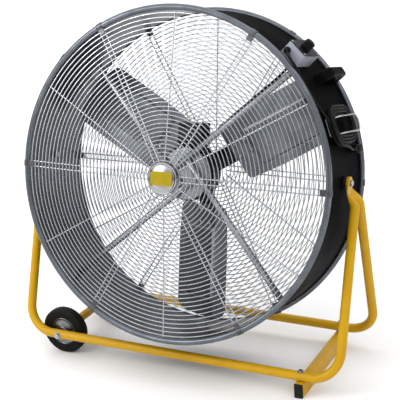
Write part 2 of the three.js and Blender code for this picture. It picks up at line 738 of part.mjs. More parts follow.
// A place on the drum's side: along to the rear, across upwards, from the coil's middle.
function onSide(along, across, radius) {
  return polar(radius, coilAngle + THREE.MathUtils.radToDeg(across / radius), coilY + along);
}
const hangerSeat = shellRadius + seatGap + hangerWire;
const hangerLow = Math.hypot(hangerSeat, hangerHalfWidth);
const hangerHigh = shellRadius + hangerLift;
const leg = (side) => [
  onSide(hangerFront, side * hangerHalfWidth, hangerLow),
  onSide(-46, side * hangerHalfWidth, hangerLow),
  onSide(-20, side * hangerHalfWidth, hangerHigh),
  onSide(hangerBack, side * hangerHalfWidth, hangerHigh),
];
const buttJoint = 0.8;
const hangerPath = rounded([
  onSide(hangerFront, buttJoint, hangerSeat),
  ...leg(1),
  ...leg(-1).reverse(),
  onSide(hangerFront, -buttJoint, hangerSeat),
], [8, 12, 12, 20, 20, 12, 12, 8], 3);
piece(drum, 'cable_hanger', bar(hangerPath, hangerWire, 6), 'steel');

/* ------------------------------------------------------------------ pivots */

const nutRadius = 9;
const nutFace = Math.sqrt(shellInner ** 2 - (pivotZ + nutRadius) ** 2) - shellInner * (1 - facet) - seatGap;
const headSeat = frontTongueX + tongueThick / 2 + seatGap;
const nutTop = headSeat - nutFace;
const pivotBolt = () => bolt(
  pivotBoltRadius, nutTop + 12, 10, 6.5,
  [
    [pivotBoltRadius, -nutTop - 8], [nutRadius, -nutTop - 8], [nutRadius, -nutTop],
    [pivotBoltRadius, -nutTop],
  ]);
const spacerProfile = [
  [pivotBoltRadius + boltPlay, 0], [spacerRadius, 0], [spacerRadius, spacerLength],
  [pivotBoltRadius + boltPlay, spacerLength],
];
for (const [hand, side] of [['left', -1], ['right', 1]]) {
  const mesh = piece(drum, `pivot_bolt_${hand}`, pivotBolt(), 'steel');
  mesh.position.set(side * headSeat, pivotY, pivotZ);
  mesh.rotation.z = (-side * Math.PI) / 2;
  const spacer = piece(drum, `pivot_spacer_${hand}`, lathe(spacerProfile, 20), 'black');
  spacer.position.set(side * (shellRadius + seatGap), pivotY, pivotZ);
  spacer.rotation.z = (-side * Math.PI) / 2;
}

/* ------------------------------------------------------------------ power cord */

// From the gland down behind the front edge to the coil's first loop.
const cordStart = glandPath.at(-1).clone();
const cordOut = cordStart.clone().sub(glandPath.at(-2)).normalize();
controls.updateMatrix();
const cordRoute = [
  cordStart.clone().addScaledVector(cordOut, seatGap).applyMatrix4(controls.matrix),
  cordStart.clone().addScaledVector(cordOut, 8).applyMatrix4(controls.matrix),
  polar(shellRadius + 20, 46.0, -142.5),
  polar(shellRadius + 19, 44.3, -147),
  polar(shellRadius + 17.5, 42.8, -145),
  polar(shellRadius + 13.5, 41.2, -137.5),
  polar(shellRadius + 8, 39.3, -131.5),
  polar(shellRadius + 5.2, 37, -128),
  polar(shellRadius + 4.6, 34, -126),
  polar(shellRadius + 4.6, 31, -122.5),
  polar(shellRadius + 5.6, 28.4, -115.5),
  polar(shellRadius + 8, 26, -106.5),
  polar(shellRadius + 10.6, 24, -99),
  polar(shellRadius + 11.9, 22.6, -96),
  onSide(-coilStraight - coilHalfWidth, 2 * cordRadius + seatGap, lowerLayer),
];
piece(drum, 'power_cord', bar(cordRoute, cordRadius, 8), 'rubber');

// A loop starts at its front end, runs down, to the rear, up and forwards again.
function loopPoint(half, phase) {
  const t = phase * 24;
  if (t <= 4 || t >= 20) {
    const turn = (t <= 4 ? t : t - 24) * (Math.PI / 8);
    return [-coilStraight - half * Math.cos(turn), -half * Math.sin(turn)];
  }
  if (t < 8) return [coilStraight * ((t - 6) / 2), -half];
  if (t > 16) return [-coilStraight * ((t - 18) / 2), half];
  const turn = (t - 8) * (Math.PI / 8);
  return [coilStraight + half * Math.sin(turn), -half * Math.cos(turn)];
}

// The loops spiral in on the lower layer, climb at the innermost half turn and spiral out.
function coilPoint(turns) {
  const inwards = coilTurns / 2 - Math.abs(turns - coilTurns / 2);
  const climb = THREE.MathUtils.clamp((turns - coilTurns / 2) * 2 + 0.5, 0, 1);
  const [along, across] = loopPoint(coilHalfWidth - lanePitch * inwards, turns - Math.floor(turns));
  return onSide(along, across, THREE.MathUtils.lerp(lowerLayer, upperLayer, climb));
}

const coilStations = [onSide(-coilStraight - coilHalfWidth, 2 * cordRadius, lowerLayer)];
for (let i = 0; i <= 24 * coilTurns + 4; i += 1) coilStations.push(coilPoint(i / 24));
coilStations.push(
  onSide(-16, plugAcross + 13.5, upperLayer - 0.2),
  onSide(2, plugAcross + 10, upperLayer - 1.1),
  onSide(20, plugAcross + 5.5, upperLayer - 2.7),
  onSide(36, plugAcross + 1.5, plugLayer + 1),
  onSide(48, plugAcross, plugLayer),
  onSide(plugAlong, plugAcross, plugLayer),
);
piece(drum, 'cord_coil', bar(coilStations, cordRadius, 6), 'rubber');

const plugAngle = coilAngle + THREE.MathUtils.radToDeg(plugAcross / plugLayer);
const plugSeat = seat(drum, plugAngle, coilY + plugAlong + seatGap);
const plugShape = roundedRectangle(2 * plugHalfWidth, 24, 7);
const plugBody = joined(
  prism(plugShape, plugLength, 'y').rotateY(Math.PI / 2).translate(0, plugLength / 2 + 8, plugLayer),
  rod(cordRadius + 2, 10, 'y').translate(0, 5, plugLayer),
  ...[-6, 6].map((x) => prism(roundedRectangle(6.3, 1.5, 0.5), 18, 'y')
    .translate(x, plugLength + 16, plugLayer + 3)),
  rod(2.4, 20, 'y').translate(0, plugLength + 17, plugLayer - 4));
piece(plugSeat, 'plug', shaped(plugBody), 'plastic');

// Least gap of the coil to itself, measured along its stations.
function leastGap(stations) {
  const curve = new StationCurve(stations);
  const perStation = 8;
  const count = (stations.length - 1) * perStation;
  const points = Array.from({ length: count + 1 }, (_, i) => curve.getPoint(i / count));
  let least = Infinity;
  for (let i = 0; i < points.length; i += 1) {
    for (let k = i + 2 * perStation; k < points.length; k += 1) {
      least = Math.min(least, points[i].distanceTo(points[k]));
    }
  }
  return least - 2 * cordRadius;
}
console.log(`cord_coil: least gap between turns ${leastGap(coilStations).toFixed(2)} mm`);

const lengthOf = (stations) => stations.slice(1).reduce((sum, p, i) => sum + p.distanceTo(stations[i]), 0);
const cordLength = lengthOf(cordRoute) + lengthOf(coilStations);
console.log(`power cord: ${(cordLength / 1000).toFixed(2)} m from the gland to the plug`);

/* ------------------------------------------------------------------ origin */

// The middle of the plan view, on the floor, over all pieces but the cord's own.
const cordPieces = ['power_cord', 'cord_coil', 'plug'];
fan.updateMatrixWorld(true);
const box = new THREE.Box3();
fan.traverse((item) => {
  if (item.isMesh && !cordPieces.includes(item.name)) box.expandByObject(item, true);
});
floor.position.set(-(box.min.x + box.max.x) / 2, -(box.min.y + box.max.y) / 2, -box.min.z);

export default fan;
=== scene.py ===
"""Drum fan on a two-wheeled tube stand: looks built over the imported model, in metres."""
import json

import bpy
import numpy as np
from mathutils import Matrix


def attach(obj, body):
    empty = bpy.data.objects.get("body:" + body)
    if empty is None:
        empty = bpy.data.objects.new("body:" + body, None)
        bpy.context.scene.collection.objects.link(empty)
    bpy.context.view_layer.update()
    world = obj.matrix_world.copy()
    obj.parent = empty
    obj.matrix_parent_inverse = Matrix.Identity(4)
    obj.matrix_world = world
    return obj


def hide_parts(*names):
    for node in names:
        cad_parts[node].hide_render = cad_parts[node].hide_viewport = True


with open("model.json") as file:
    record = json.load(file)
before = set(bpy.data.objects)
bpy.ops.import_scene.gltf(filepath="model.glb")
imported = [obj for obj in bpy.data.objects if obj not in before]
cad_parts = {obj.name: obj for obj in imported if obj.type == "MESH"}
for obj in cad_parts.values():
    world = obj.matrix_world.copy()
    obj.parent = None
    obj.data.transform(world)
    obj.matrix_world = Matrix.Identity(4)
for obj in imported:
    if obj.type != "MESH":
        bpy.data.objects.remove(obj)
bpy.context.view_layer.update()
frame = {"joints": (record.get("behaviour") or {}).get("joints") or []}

# ---------------------------------------------------------------- camera
# The photograph is taken from the front right, a little above, with the camera rolled slightly.
# It is placed in the stand's axes, in millimetres: X along the rails from their middle, Z up from them.

MM = 0.001
PIVOT_RISE = 538.0  # pivots over the rails' centre lines
CAMERA_PLACE = (1463.3, -2894.2, 1017.3)  # from the pivots' middle, in the stand's axes
CAMERA_TURN = 26.413  # degrees to the right of the front
CAMERA_DROP = 19.08  # degrees looking down
CAMERA_ROLL = -2.888
CAMERA_LENS = 101.97

joints = {joint["name"]: joint for joint in frame["joints"]}
stand_axes = np.array([joints["drum_tilt"]["axis"], (0.0, 1.0, 0.0), (0.0, 0.0, 0.0)])
stand_axes[2] = np.cross(stand_axes[0], stand_axes[1])
stand_origin = np.array(joints["drum_tilt"]["pos_m"]) - PIVOT_RISE * MM * stand_axes[2]


def on_stand(points):
    """Scene points of the stand's: origin + x X + y Y + z Z, in metres."""
    return stand_origin + MM * np.asarray(points, float) @ stand_axes


turn, drop, roll = np.radians([CAMERA_TURN, CAMERA_DROP, CAMERA_ROLL])
ahead = np.array([-np.sin(turn) * np.cos(drop), np.cos(turn) * np.cos(drop), -np.sin(drop)])
level_right = np.array([np.cos(turn), np.sin(turn), 0.0])
level_up = np.cross(level_right, ahead)
right = np.cos(roll) * level_right + np.sin(roll) * level_up
up = np.cos(roll) * level_up - np.sin(roll) * level_right
camera_data = bpy.data.cameras.new("camera")
camera_data.lens = CAMERA_LENS
camera = bpy.data.objects.new("camera", camera_data)
bpy.context.scene.collection.objects.link(camera)
placed = np.eye(4)
placed[:3, :3] = (np.array([right, up, -ahead]) @ stand_axes).T
placed[:3, 3] = on_stand(np.array(CAMERA_PLACE) + (0, 0, PIVOT_RISE))
camera.matrix_world = Matrix(placed.tolist())
bpy.context.scene.camera = camera

# ---------------------------------------------------------------- power cord
# A round black rubber mains cord leaves the gland and comes down behind the front edge of the drum.
# It lies in six loops over the drum's side, in two layers held by the wire hanger, with its plug
# just below. The drum's axes are X along the tilt, Y along the drum to the rear, and Z up its front.

FAN_Y = 90.0  # impeller behind the drum's middle
CORD_DIAMETER = 8.0
COIL_ANGLE = 20.8
COIL_Y = -3.0
COIL_STRAIGHT = 36.0
COIL_HALF_WIDTH = 57.0
LANE_PITCH = 8.7
COIL_TURNS = 6
LOWER_LAYER = 494.9  # radius of the loops that lie on the drum's side
UPPER_LAYER = 503.7
BOX_ANGLE = 47.0
BOX_Y = -46.0
GLAND_END = np.array([-9.0, -78.3, 502.0])
GLAND_OUT = np.array([8.0, -8.0, 0.5]) / np.linalg.norm([8.0, -8.0, 0.5])

drum_axes = np.array([joints["drum_tilt"]["axis"], joints["fan_spin"]["axis"], (0.0, 0.0, 0.0)])
drum_axes[2] = np.cross(drum_axes[0], drum_axes[1])
drum_origin = np.array(joints["fan_spin"]["pos_m"]) - FAN_Y * MM * drum_axes[1]


def on_drum(points):
    """Scene points of the drum's: origin + x X + y Y + z Z, in metres."""
    return drum_origin + MM * np.asarray(points, float) @ drum_axes


def polar(radius, degrees, y):
    """Drum points (r cos a, y, r sin a), with the angle from +X towards +Z, seen from the front."""
    turn = np.radians(degrees)
    return np.stack(np.broadcast_arrays(radius * np.cos(turn), y, radius * np.sin(turn)), axis=-1)


def seated(points, degrees, y=0.0):
    """Drum points from a seat at an angle a: X clockwise (sin a, -cos a), Y to the rear and Z
    outwards (cos a, sin a)."""
    points = np.asarray(points, float)
    turn = np.radians(degrees)
    clockwise = np.array([np.sin(turn), 0.0, -np.cos(turn)])
    outwards = np.array([np.cos(turn), 0.0, np.sin(turn)])
    flat = points[..., :1] * clockwise + points[..., 2:] * outwards
    return flat + (points[..., 1:2] + y) * np.array([0.0, 1.0, 0.0])


def on_side(along, across, radius):
    """Drum points round the coil's middle: along to the rear, across upwards over the drum's side."""
    return polar(radius, COIL_ANGLE + np.degrees(np.asarray(across) / radius), COIL_Y + np.asarray(along))


def loop_lane(half_width, phase):
    """A loop from its front end downwards, as (along, across).

    Of 24 steps round it, each half circle takes 8 and each straight 4. On the half circles the place
    is the middle of the arc plus the half width times cosine and sine."""
    t = phase * 24
    front = np.where(t <= 4, t, t - 24) * np.pi / 8
    rear = (t - 8) * np.pi / 8
    at_front = (t <= 4) | (t >= 20)
    below = (t > 4) & (t < 8)
    above = (t > 16) & (t < 20)
    along = np.select(
        [at_front, below, above],
        [-COIL_STRAIGHT - half_width * np.cos(front), COIL_STRAIGHT * (t - 6) / 2,
         -COIL_STRAIGHT * (t - 18) / 2],
        COIL_STRAIGHT + half_width * np.sin(rear))
    across = np.select([at_front, below, above], [-half_width * np.sin(front), -half_width, half_width],
                       -half_width * np.cos(rear))
    return along, across


def coil_line(turns):
    """The loops spiral in on the lower layer, climb at the innermost half turn and spiral out again.

    The half width falls by a lane for each turn, and the climb is 3 t^2 - 2 t^3."""
    inwards = COIL_TURNS / 2 - np.abs(turns - COIL_TURNS / 2)
    climb = np.clip((turns - COIL_TURNS / 2) * 2 + 0.5, 0, 1)
    climb = climb * climb * (3 - 2 * climb)
    along, across = loop_lane(COIL_HALF_WIDTH - LANE_PITCH * inwards, turns - np.floor(turns))
    return on_side(along, across, LOWER_LAYER + (UPPER_LAYER - LOWER_LAYER) * climb)


def smooth_line(points, steps):
    """A Catmull-Rom curve through the points, with a number of steps from each to the next:
    half of 2 b + (c - a) t + (2 a - 5 b + 4 c - d) t^2 + (3 b - a - 3 c + d) t^3 between b and c."""
    points = np.asarray(points, float)
    padded = np.vstack([2 * points[0] - points[1], points, 2 * points[-1] - points[-2]])
    t = (np.arange(steps) / steps)[None, :, None]
    p0, p1, p2, p3 = (padded[i:len(padded) - 3 + i][:, None] for i in range(4))
    curve = 0.5 * (2 * p1 + (p2 - p0) * t + (2 * p0 - 5 * p1 + 4 * p2 - p3) * t**2
                   + (3 * p1 - p0 - 3 * p2 + p3) * t**3)
    return np.vstack([curve.reshape(-1, 3), points[-1:]])


def sweep(path, section, toward):
    """A section of (across, outward) offsets carried along a path.

    The outward direction of each ring is the given one made square to the path, and the section
    is one outline for the whole path or one for each of its points."""
    path = np.asarray(path, float)
    run = np.gradient(path, axis=0)
    run /= np.linalg.norm(run, axis=1, keepdims=True)
    outward = np.broadcast_to(np.asarray(toward, float), path.shape)
    outward = outward - np.sum(outward * run, axis=1, keepdims=True) * run
    outward /= np.linalg.norm(outward, axis=1, keepdims=True)
    across = np.cross(outward, run)
    section = np.broadcast_to(section, (len(path),) + np.shape(section)[-2:])
    return path[:, None] + section[..., :1] * across[:, None] + section[..., 1:] * outward[:, None]


def round_section(radius, sides):
    """A circle of offsets r (cos, sin), with one radius or one for each point of the path."""
    turn = 2 * np.pi * np.arange(sides) / sides
    ring = np.stack([np.cos(turn), np.sin(turn)], axis=-1)
    return np.multiply.outer(np.asarray(radius, float), ring) if np.ndim(radius) else radius * ring


def skin(points, along=False):
    """Vertices and faces of a grid of points wrapped round its second way.

    The first way is a path with a cap at each end, or is wrapped as well. Faces are turned outwards:
    the volume under them, a sixth of the sum of a . (b x c) over their triangles, comes out positive."""
    rows, columns = points.shape[:2]
    index = np.arange(rows * columns).reshape(rows, columns)
    lines = np.vstack([index, index[:1]]) if along else index
    lines = np.hstack([lines, lines[:, :1]])
    quads = np.stack([lines[:-1, :-1], lines[:-1, 1:], lines[1:, 1:], lines[1:, :-1]], axis=-1)
    quads = quads.reshape(-1, 4)
    flat = points.reshape(-1, 3)
    a, b, c, d = (flat[quads[:, i]] - flat.mean(axis=0) for i in range(4))
    volume = np.sum(a * np.cross(b, c)) + np.sum(a * np.cross(c, d))
    faces = quads.tolist()
    if not along:
        faces += [index[0, ::-1].tolist(), index[-1].tolist()]
        first, last = (flat[line] - flat.mean(axis=0) for line in (index[0, ::-1], index[-1]))
        for ring in (first, last):
            volume += np.sum(ring[0] * np.cross(ring[1:-1], ring[2:]))
    return flat, [face[::-1] for face in faces] if volume < 0 else faces


def make(name, body, material, *skins, sharp=35, slot=None, replaces=()):
    """A piece from one or more skins, in place, riding on a body, with its one or more materials."""
    vertices, faces, start = [], [], 0
    for points, its_faces in skins:
        vertices.append(points)
        faces += [[i + start for i in face] for face in its_faces]
        start += len(points)
    mesh = bpy.data.meshes.new(name)
    mesh.from_pydata(np.vstack(vertices).tolist(), [], faces)
    mesh.update()
    mesh.shade_smooth()
    mesh.set_sharp_from_angle(angle=np.radians(sharp))
    for one in (material if isinstance(material, (list, tuple)) else [material]):
        mesh.materials.append(one)
    piece = bpy.data.objects.new(name, mesh)
    bpy.context.scene.collection.objects.link(piece)
    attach(piece, body)
    if replaces:
        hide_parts(*replaces)
    return piece


def new_group(name, inputs, outputs):
    """An empty shader node group with its sockets: (name, kind, default) in and (name, kind) out."""
    group = bpy.data.node_groups.new(name, "ShaderNodeTree")
    for label, kind, default in inputs:
        socket = group.interface.new_socket(label, in_out="INPUT", socket_type=kind)
        socket.default_value = default
    for label, kind in outputs:
        group.interface.new_socket(label, in_out="OUTPUT", socket_type=kind)
    ends = [group.nodes.new("NodeGroupInput"), group.nodes.new("NodeGroupOutput")]
    return group, ends[0].outputs, ends[1].inputs


def add_noise(tree, scale, detail=4.0, roughness=0.55):
    """Noise on object coordinates; scale is a number or a socket."""
    place = tree.nodes.new("ShaderNodeTexCoord")
    noise = tree.nodes.new("ShaderNodeTexNoise")
    noise.inputs["Detail"].default_value = detail
    noise.inputs["Roughness"].default_value = roughness
    tree.links.new(place.outputs["Object"], noise.inputs["Vector"])
    if isinstance(scale, (int, float)):
        noise.inputs["Scale"].default_value = scale
    else:
        tree.links.new(scale, noise.inputs["Scale"])
    return noise.outputs["Fac"]


def add_ramp(tree, value, low, high, floor=0.0, top=1.0):
    """Value from low..high mapped to floor..top, clamped."""
    spread = tree.nodes.new("ShaderNodeMapRange")
    for label, number in (("From Min", low), ("From Max", high), ("To Min", floor), ("To Max", top)):
        spread.inputs[label].default_value = number
    tree.links.new(value, spread.inputs["Value"])
    return spread.outputs["Result"]


# Mottle: a finish that is a little darker here and lighter there, as sprayed and handled metal is.
mottle, given, gives = new_group(
    "mottle",
    [("Light", "NodeSocketColor", (0.5, 0.5, 0.5, 1)), ("Dark", "NodeSocketColor", (0.4, 0.4, 0.4, 1)),
     ("Scale", "NodeSocketFloat", 12.0), ("Rough Low", "NodeSocketFloat", 0.3),
     ("Rough High", "NodeSocketFloat", 0.4)],
    [("Color", "NodeSocketColor"), ("Roughness", "NodeSocketFloat")])
cloud = add_ramp(mottle, add_noise(mottle, given["Scale"]), 0.35, 0.65)
blend = mottle.nodes.new("ShaderNodeMix")
blend.data_type = "RGBA"
mottle.links.new(cloud, blend.inputs["Factor"])
mottle.links.new(given["Light"], blend.inputs[6])
mottle.links.new(given["Dark"], blend.inputs[7])
mottle.links.new(blend.outputs[2], gives["Color"])
rough = mottle.nodes.new("ShaderNodeMapRange")
mottle.links.new(cloud, rough.inputs["Value"])
mottle.links.new(given["Rough Low"], rough.inputs["To Min"])
mottle.links.new(given["Rough High"], rough.inputs["To Max"])
mottle.links.new(rough.outputs["Result"], gives["Roughness"])

# Dust: a pale film that settles on what faces up.
dust, given, gives = new_group(
    "settled_dust",
    [("Color", "NodeSocketColor", (0.5, 0.5, 0.5, 1)), ("Dust", "NodeSocketColor", (0.42, 0.4, 0.36, 1)),
     ("Amount", "NodeSocketFloat", 0.1)],
    [("Color", "NodeSocketColor")])
facing = dust.nodes.new("ShaderNodeNewGeometry")
split = dust.nodes.new("ShaderNodeSeparateXYZ")
dust.links.new(facing.outputs["Normal"], split.inputs["Vector"])
upward = add_ramp(dust, split.outputs["Z"], 0.1, 1.0)
patch = add_ramp(dust, add_noise(dust, 30.0, 6.0), 0.3, 0.7, 0.4, 1.0)
both = dust.nodes.new("ShaderNodeMath")
both.operation = "MULTIPLY"
dust.links.new(upward, both.inputs[0])
dust.links.new(patch, both.inputs[1])
share = dust.nodes.new("ShaderNodeMath")
share.operation = "MULTIPLY"
dust.links.new(both.outputs[0], share.inputs[0])
dust.links.new(given["Amount"], share.inputs[1])
film = dust.nodes.new("ShaderNodeMix")
film.data_type = "RGBA"
dust.links.new(share.outputs[0], film.inputs["Factor"])
dust.links.new(given["Color"], film.inputs[6])
dust.links.new(given["Dust"], film.inputs[7])
dust.links.new(film.outputs[2], gives["Color"])


def finish(name, light, dark, metallic=0.0, rough=(0.35, 0.45), scale=12.0, dusty=0.0,
           grain=400.0, relief=0.0002, coat=0.0, specular=0.5):
    """A finish: mottled colour and roughness, a fine surface relief, and a film of dust on top.

    Light and dark are red, green and blue; scale and grain are how often the mottle and the relief
    repeat in a metre, and relief is in metres."""
    material = bpy.data.materials.new(name)
    material.use_nodes = True
    tree = material.node_tree
    shader = tree.nodes["Principled BSDF"]
    shader.inputs["Metallic"].default_value = metallic
    shader.inputs["Coat Weight"].default_value = coat
    shader.inputs["Coat Roughness"].default_value = 0.12
    shader.inputs["Specular IOR Level"].default_value = specular
    clouds = tree.nodes.new("ShaderNodeGroup")
    clouds.node_tree = mottle
    for label, value in (("Light", (*light, 1)), ("Dark", (*dark, 1)), ("Scale", scale),
                         ("Rough Low", rough[0]), ("Rough High", rough[1])):
        clouds.inputs[label].default_value = value
    film = tree.nodes.new("ShaderNodeGroup")
    film.node_tree = dust
    film.inputs["Amount"].default_value = dusty
    tree.links.new(clouds.outputs["Color"], film.inputs["Color"])
    tree.links.new(film.outputs["Color"], shader.inputs["Base Color"])
    tree.links.new(clouds.outputs["Roughness"], shader.inputs["Roughness"])
    bump = tree.nodes.new("ShaderNodeBump")
    bump.inputs["Distance"].default_value = relief
    bump.inputs["Strength"].default_value = 0.6
    tree.links.new(add_noise(tree, grain, 3.0), bump.inputs["Height"])
    tree.links.new(bump.outputs["Normal"], shader.inputs["Normal"])
    return material


cord_rubber = finish("cord_rubber", (0.003, 0.003, 0.0033), (0.01, 0.01, 0.0105), rough=(0.4, 0.55),
                     dusty=0, specular=0.08)

gland_leaves = seated(GLAND_END + 0.3 * GLAND_OUT, BOX_ANGLE, BOX_Y)
cord_route = np.vstack([
    gland_leaves,
    seated(GLAND_END + 8 * GLAND_OUT, BOX_ANGLE, BOX_Y),
    polar(503, 46.0, -142.5),
    polar(502, 44.3, -147),
    polar(500.5, 42.8, -145),
    polar(496.5, 41.2, -137.5),
    polar(491, 39.3, -131.5),
    polar(488.2, 37, -128),
    polar(487.6, 34, -126),
    polar(487.6, 31, -122.5),
    polar(488.6, 28.4, -115.5),
    polar(491, 26, -106.5),
    polar(493.6, 24, -99),
    polar(494.9, 22.6, -96),
    on_side(-COIL_STRAIGHT - COIL_HALF_WIDTH, 8.0, LOWER_LAYER),
])
cord_tail = np.vstack([
    on_side(-16, -61.5, 503.5),
    on_side(2, -65, 502.6),
    on_side(20, -69.5, 501),
    on_side(36, -73.5, 499),
    on_side(48, -75, 498),
    on_side(58, -75, 498),
])
loops = coil_line(np.arange(0, COIL_TURNS + 4 / 24 + 1e-6, 1 / 48))
cord_line = np.vstack([smooth_line(cord_route, 4)[:-1], loops[:1], loops[1:-1], smooth_line(
    np.vstack([loops[-1:], cord_tail]), 4)])
from_axis = cord_line * (1, 0, 1)
power_cord = make(
    "mains_cord", "drum", cord_rubber,
    skin(on_drum(sweep(cord_line, round_section(CORD_DIAMETER / 2 - 0.05, 14), from_axis))),
    sharp=180, slot="cord_rubber", replaces=("power_cord", "cord_coil"))

# ---------------------------------------------------------------- plug
# A plain black plug moulded on the cord's end, with a grip that narrows to the cord.
# Two flat blades and a round earth pin of plated brass stand out of its flat face.

PLUG_START = 58.3
PLUG_RADIUS = 498.0
PLUG_ACROSS = -75.0  # below the coil's middle, over the drum's side
PLUG_ANGLE = COIL_ANGLE + np.degrees(PLUG_ACROSS / PLUG_RADIUS)


def soft_box(half_width, half_height, sides, power=4.0):
    """A rounded rectangle of offsets for each pair of half sizes: the superellipse
    |u / half width|^power + |v / half height|^power = 1."""
    turn = 2 * np.pi * np.arange(sides) / sides
    c, s = np.cos(turn), np.sin(turn)
    across = np.sign(c) * np.abs(c) ** (2 / power)
    outward = np.sign(s) * np.abs(s) ** (2 / power)
    return np.stack([np.multiply.outer(np.asarray(half_width, float), across),
                     np.multiply.outer(np.asarray(half_height, float), outward)], axis=-1)


moulded_black = finish("moulded_black", (0.003, 0.003, 0.0033), (0.006, 0.006, 0.0063),
                       rough=(0.38, 0.5), dusty=0, grain=900, relief=0.00015, specular=0.08)
bright_zinc = finish("bright_zinc", (0.42, 0.43, 0.45), (0.3, 0.31, 0.33), metallic=1.0,
                     rough=(0.16, 0.3), scale=40, grain=1200, relief=0.00005)
grip_y = np.array([0, 4, 10, 14, 17, 22, 34, 44, 47.5, 48.0])
grip_w = np.array([5.6, 5.8, 6.0, 8.5, 11.0, 12.3, 12.9, 12.9, 12.2, 9.0])
grip_h = np.array([5.4, 5.6, 5.8, 7.5, 9.5, 10.6, 11.8, 11.8, 11.2, 8.0])
grip = sweep(np.stack([0 * grip_y, grip_y, 0 * grip_y + PLUG_RADIUS], axis=-1),
             soft_box(grip_w, grip_h, 32, 3.0), (0, 0, 1))
blades = [sweep(np.array([[x, 48.0, 501.0], [x, 63.0, 501.0], [x, 65.5, 501.0]]),
                soft_box([0.75, 0.75, 0.5], [3.1, 3.1, 2.2], 12, 8.0), (0, 0, 1)) for x in (-6.0, 6.0)]
earth_pin = sweep(np.array([[0, 48.0, 494.0], [0, 64.0, 494.0], [0, 66.5, 494.0]]),
                  round_section(np.array([2.4, 2.4, 1.5]), 16), (0, 0, 1))
plug = make(
    "mains_plug", "drum", moulded_black,
    skin(on_drum(seated(grip, PLUG_ANGLE, COIL_Y + PLUG_START))),
    slot="black_plastic", replaces=("plug",))
plug_pins = make(
    "mains_plug_pins", "drum", bright_zinc,
    *[skin(on_drum(seated(pin, PLUG_ANGLE, COIL_Y + PLUG_START))) for pin in (*blades, earth_pin)],
    slot="bright_steel")

# ---------------------------------------------------------------- drum shell and rolled edges
# The drum is one rolled sheet of galvanised steel, sprayed black outside and left bare inside.
# Each of its edges is rolled over into a round bead of bare zinc.

SHELL_RADIUS = 483.0
SHELL_THICK = 3.0
SHELL_HALF = 139.0
BEAD_RING = 486.0
BEAD_RADIUS = 9.0
BEAD_Y = 147.0
ALONG = {"x": [2, 0, 1], "y": [1, 2, 0], "z": [0, 1, 2]}  # which of (u, v, depth) each axis takes


def lay(points, axis, place=(0.0, 0.0, 0.0)):
    """Points of (u, v, depth) with their depth along an axis, moved to a place."""
    return np.asarray(points, float)[..., ALONG[axis]] + place


def spin(profile, sides):
    """A profile of (radius, depth) turned round the depth: rings of (r cos, r sin, depth)."""
    profile = np.asarray(profile, float)
    turn = 2 * np.pi * np.arange(sides) / sides
    radius, depth = profile[:, :1], np.broadcast_to(profile[:, 1:], (len(profile), sides))
    return np.stack([radius * np.cos(turn), radius * np.sin(turn), depth], axis=-1)


def arc(middle, radius, start, end, steps):
    """Points of an arc in a plane, middle + r (cos, sin), with angles in degrees."""
    turn = np.radians(np.linspace(start, end, steps + 1))
    return np.stack([middle[0] + radius * np.cos(turn), middle[1] + radius * np.sin(turn)], axis=-1)


shell_black = finish("shell_black", (0.0016, 0.0017, 0.002), (0.003, 0.0031, 0.0035),
                     rough=(0.42, 0.55), scale=6, grain=500, relief=0.0003, specular=0.008)
wall_zinc = finish("wall_zinc", (0.07, 0.082, 0.1), (0.048, 0.043, 0.036), metallic=0.9,
                   rough=(0.26, 0.4), scale=5, grain=260, relief=0.0002)
edge_zinc = finish("edge_zinc", (0.14, 0.152, 0.175), (0.1, 0.11, 0.125), metallic=0.85,
                   rough=(0.24, 0.36), scale=20, grain=700, relief=0.0001)
inner = SHELL_RADIUS - SHELL_THICK
shell_profile = np.vstack([
    np.stack([np.full(9, SHELL_RADIUS), np.linspace(-SHELL_HALF, SHELL_HALF, 9)], axis=-1),
    np.stack([np.full(9, inner), np.linspace(SHELL_HALF, -SHELL_HALF, 9)], axis=-1)])
shell = make("drum_wall", "drum", [shell_black, wall_zinc],
             skin(on_drum(lay(spin(shell_profile, 288), "y")), along=True),
             slot="black_paint", replaces=("drum_shell",))
inside = np.zeros(len(shell.data.polygons), int)
inside.reshape(len(shell_profile), -1)[9:] = 1
shell.data.polygons.foreach_set("material_index", inside)

for end, side in (("front", -1), ("rear", 1)):
    bead_profile = arc((BEAD_RING, side * BEAD_Y), BEAD_RADIUS, 0, 360, 24)[:-1]
    make(f"{end}_rolled_edge", "drum", edge_zinc,
         skin(on_drum(lay(spin(bead_profile, 288), "y")), along=True), sharp=180,
         slot="bright_steel", replaces=(f"{end}_edge_ring",))

# ---------------------------------------------------------------- grilles
# Each end is closed by a shallow dome of bright welded wire: 35 rings, lying on ribs that run from
# the middle to the drum's edge, in pairs at the six clips and single between them.

RING_COUNT = 35
DOME_HEIGHT = 35.0
GRILLE_Y = 150.0
OUTER_RING = 470.0
WIRE_RADIUS = 1.75
RIB_RADIUS = 2.0
RIB_PAIR_HALF = 8.0
RIB_START = 36.0
RIB_END = 475.5


def dome(radius):
    """Height over the drum's middle: edge height + rise (1 - r / outer r)^1.15."""
    return GRILLE_Y + DOME_HEIGHT * np.clip(1 - radius / OUTER_RING, 0, 1) ** 1.15


def ring_radius(number):
    """Radius of a ring, 52 + 11.5 n + 0.0234 n^2: a little further apart towards the edge."""
    return 52 + 11.5 * number + 0.0234 * number**2


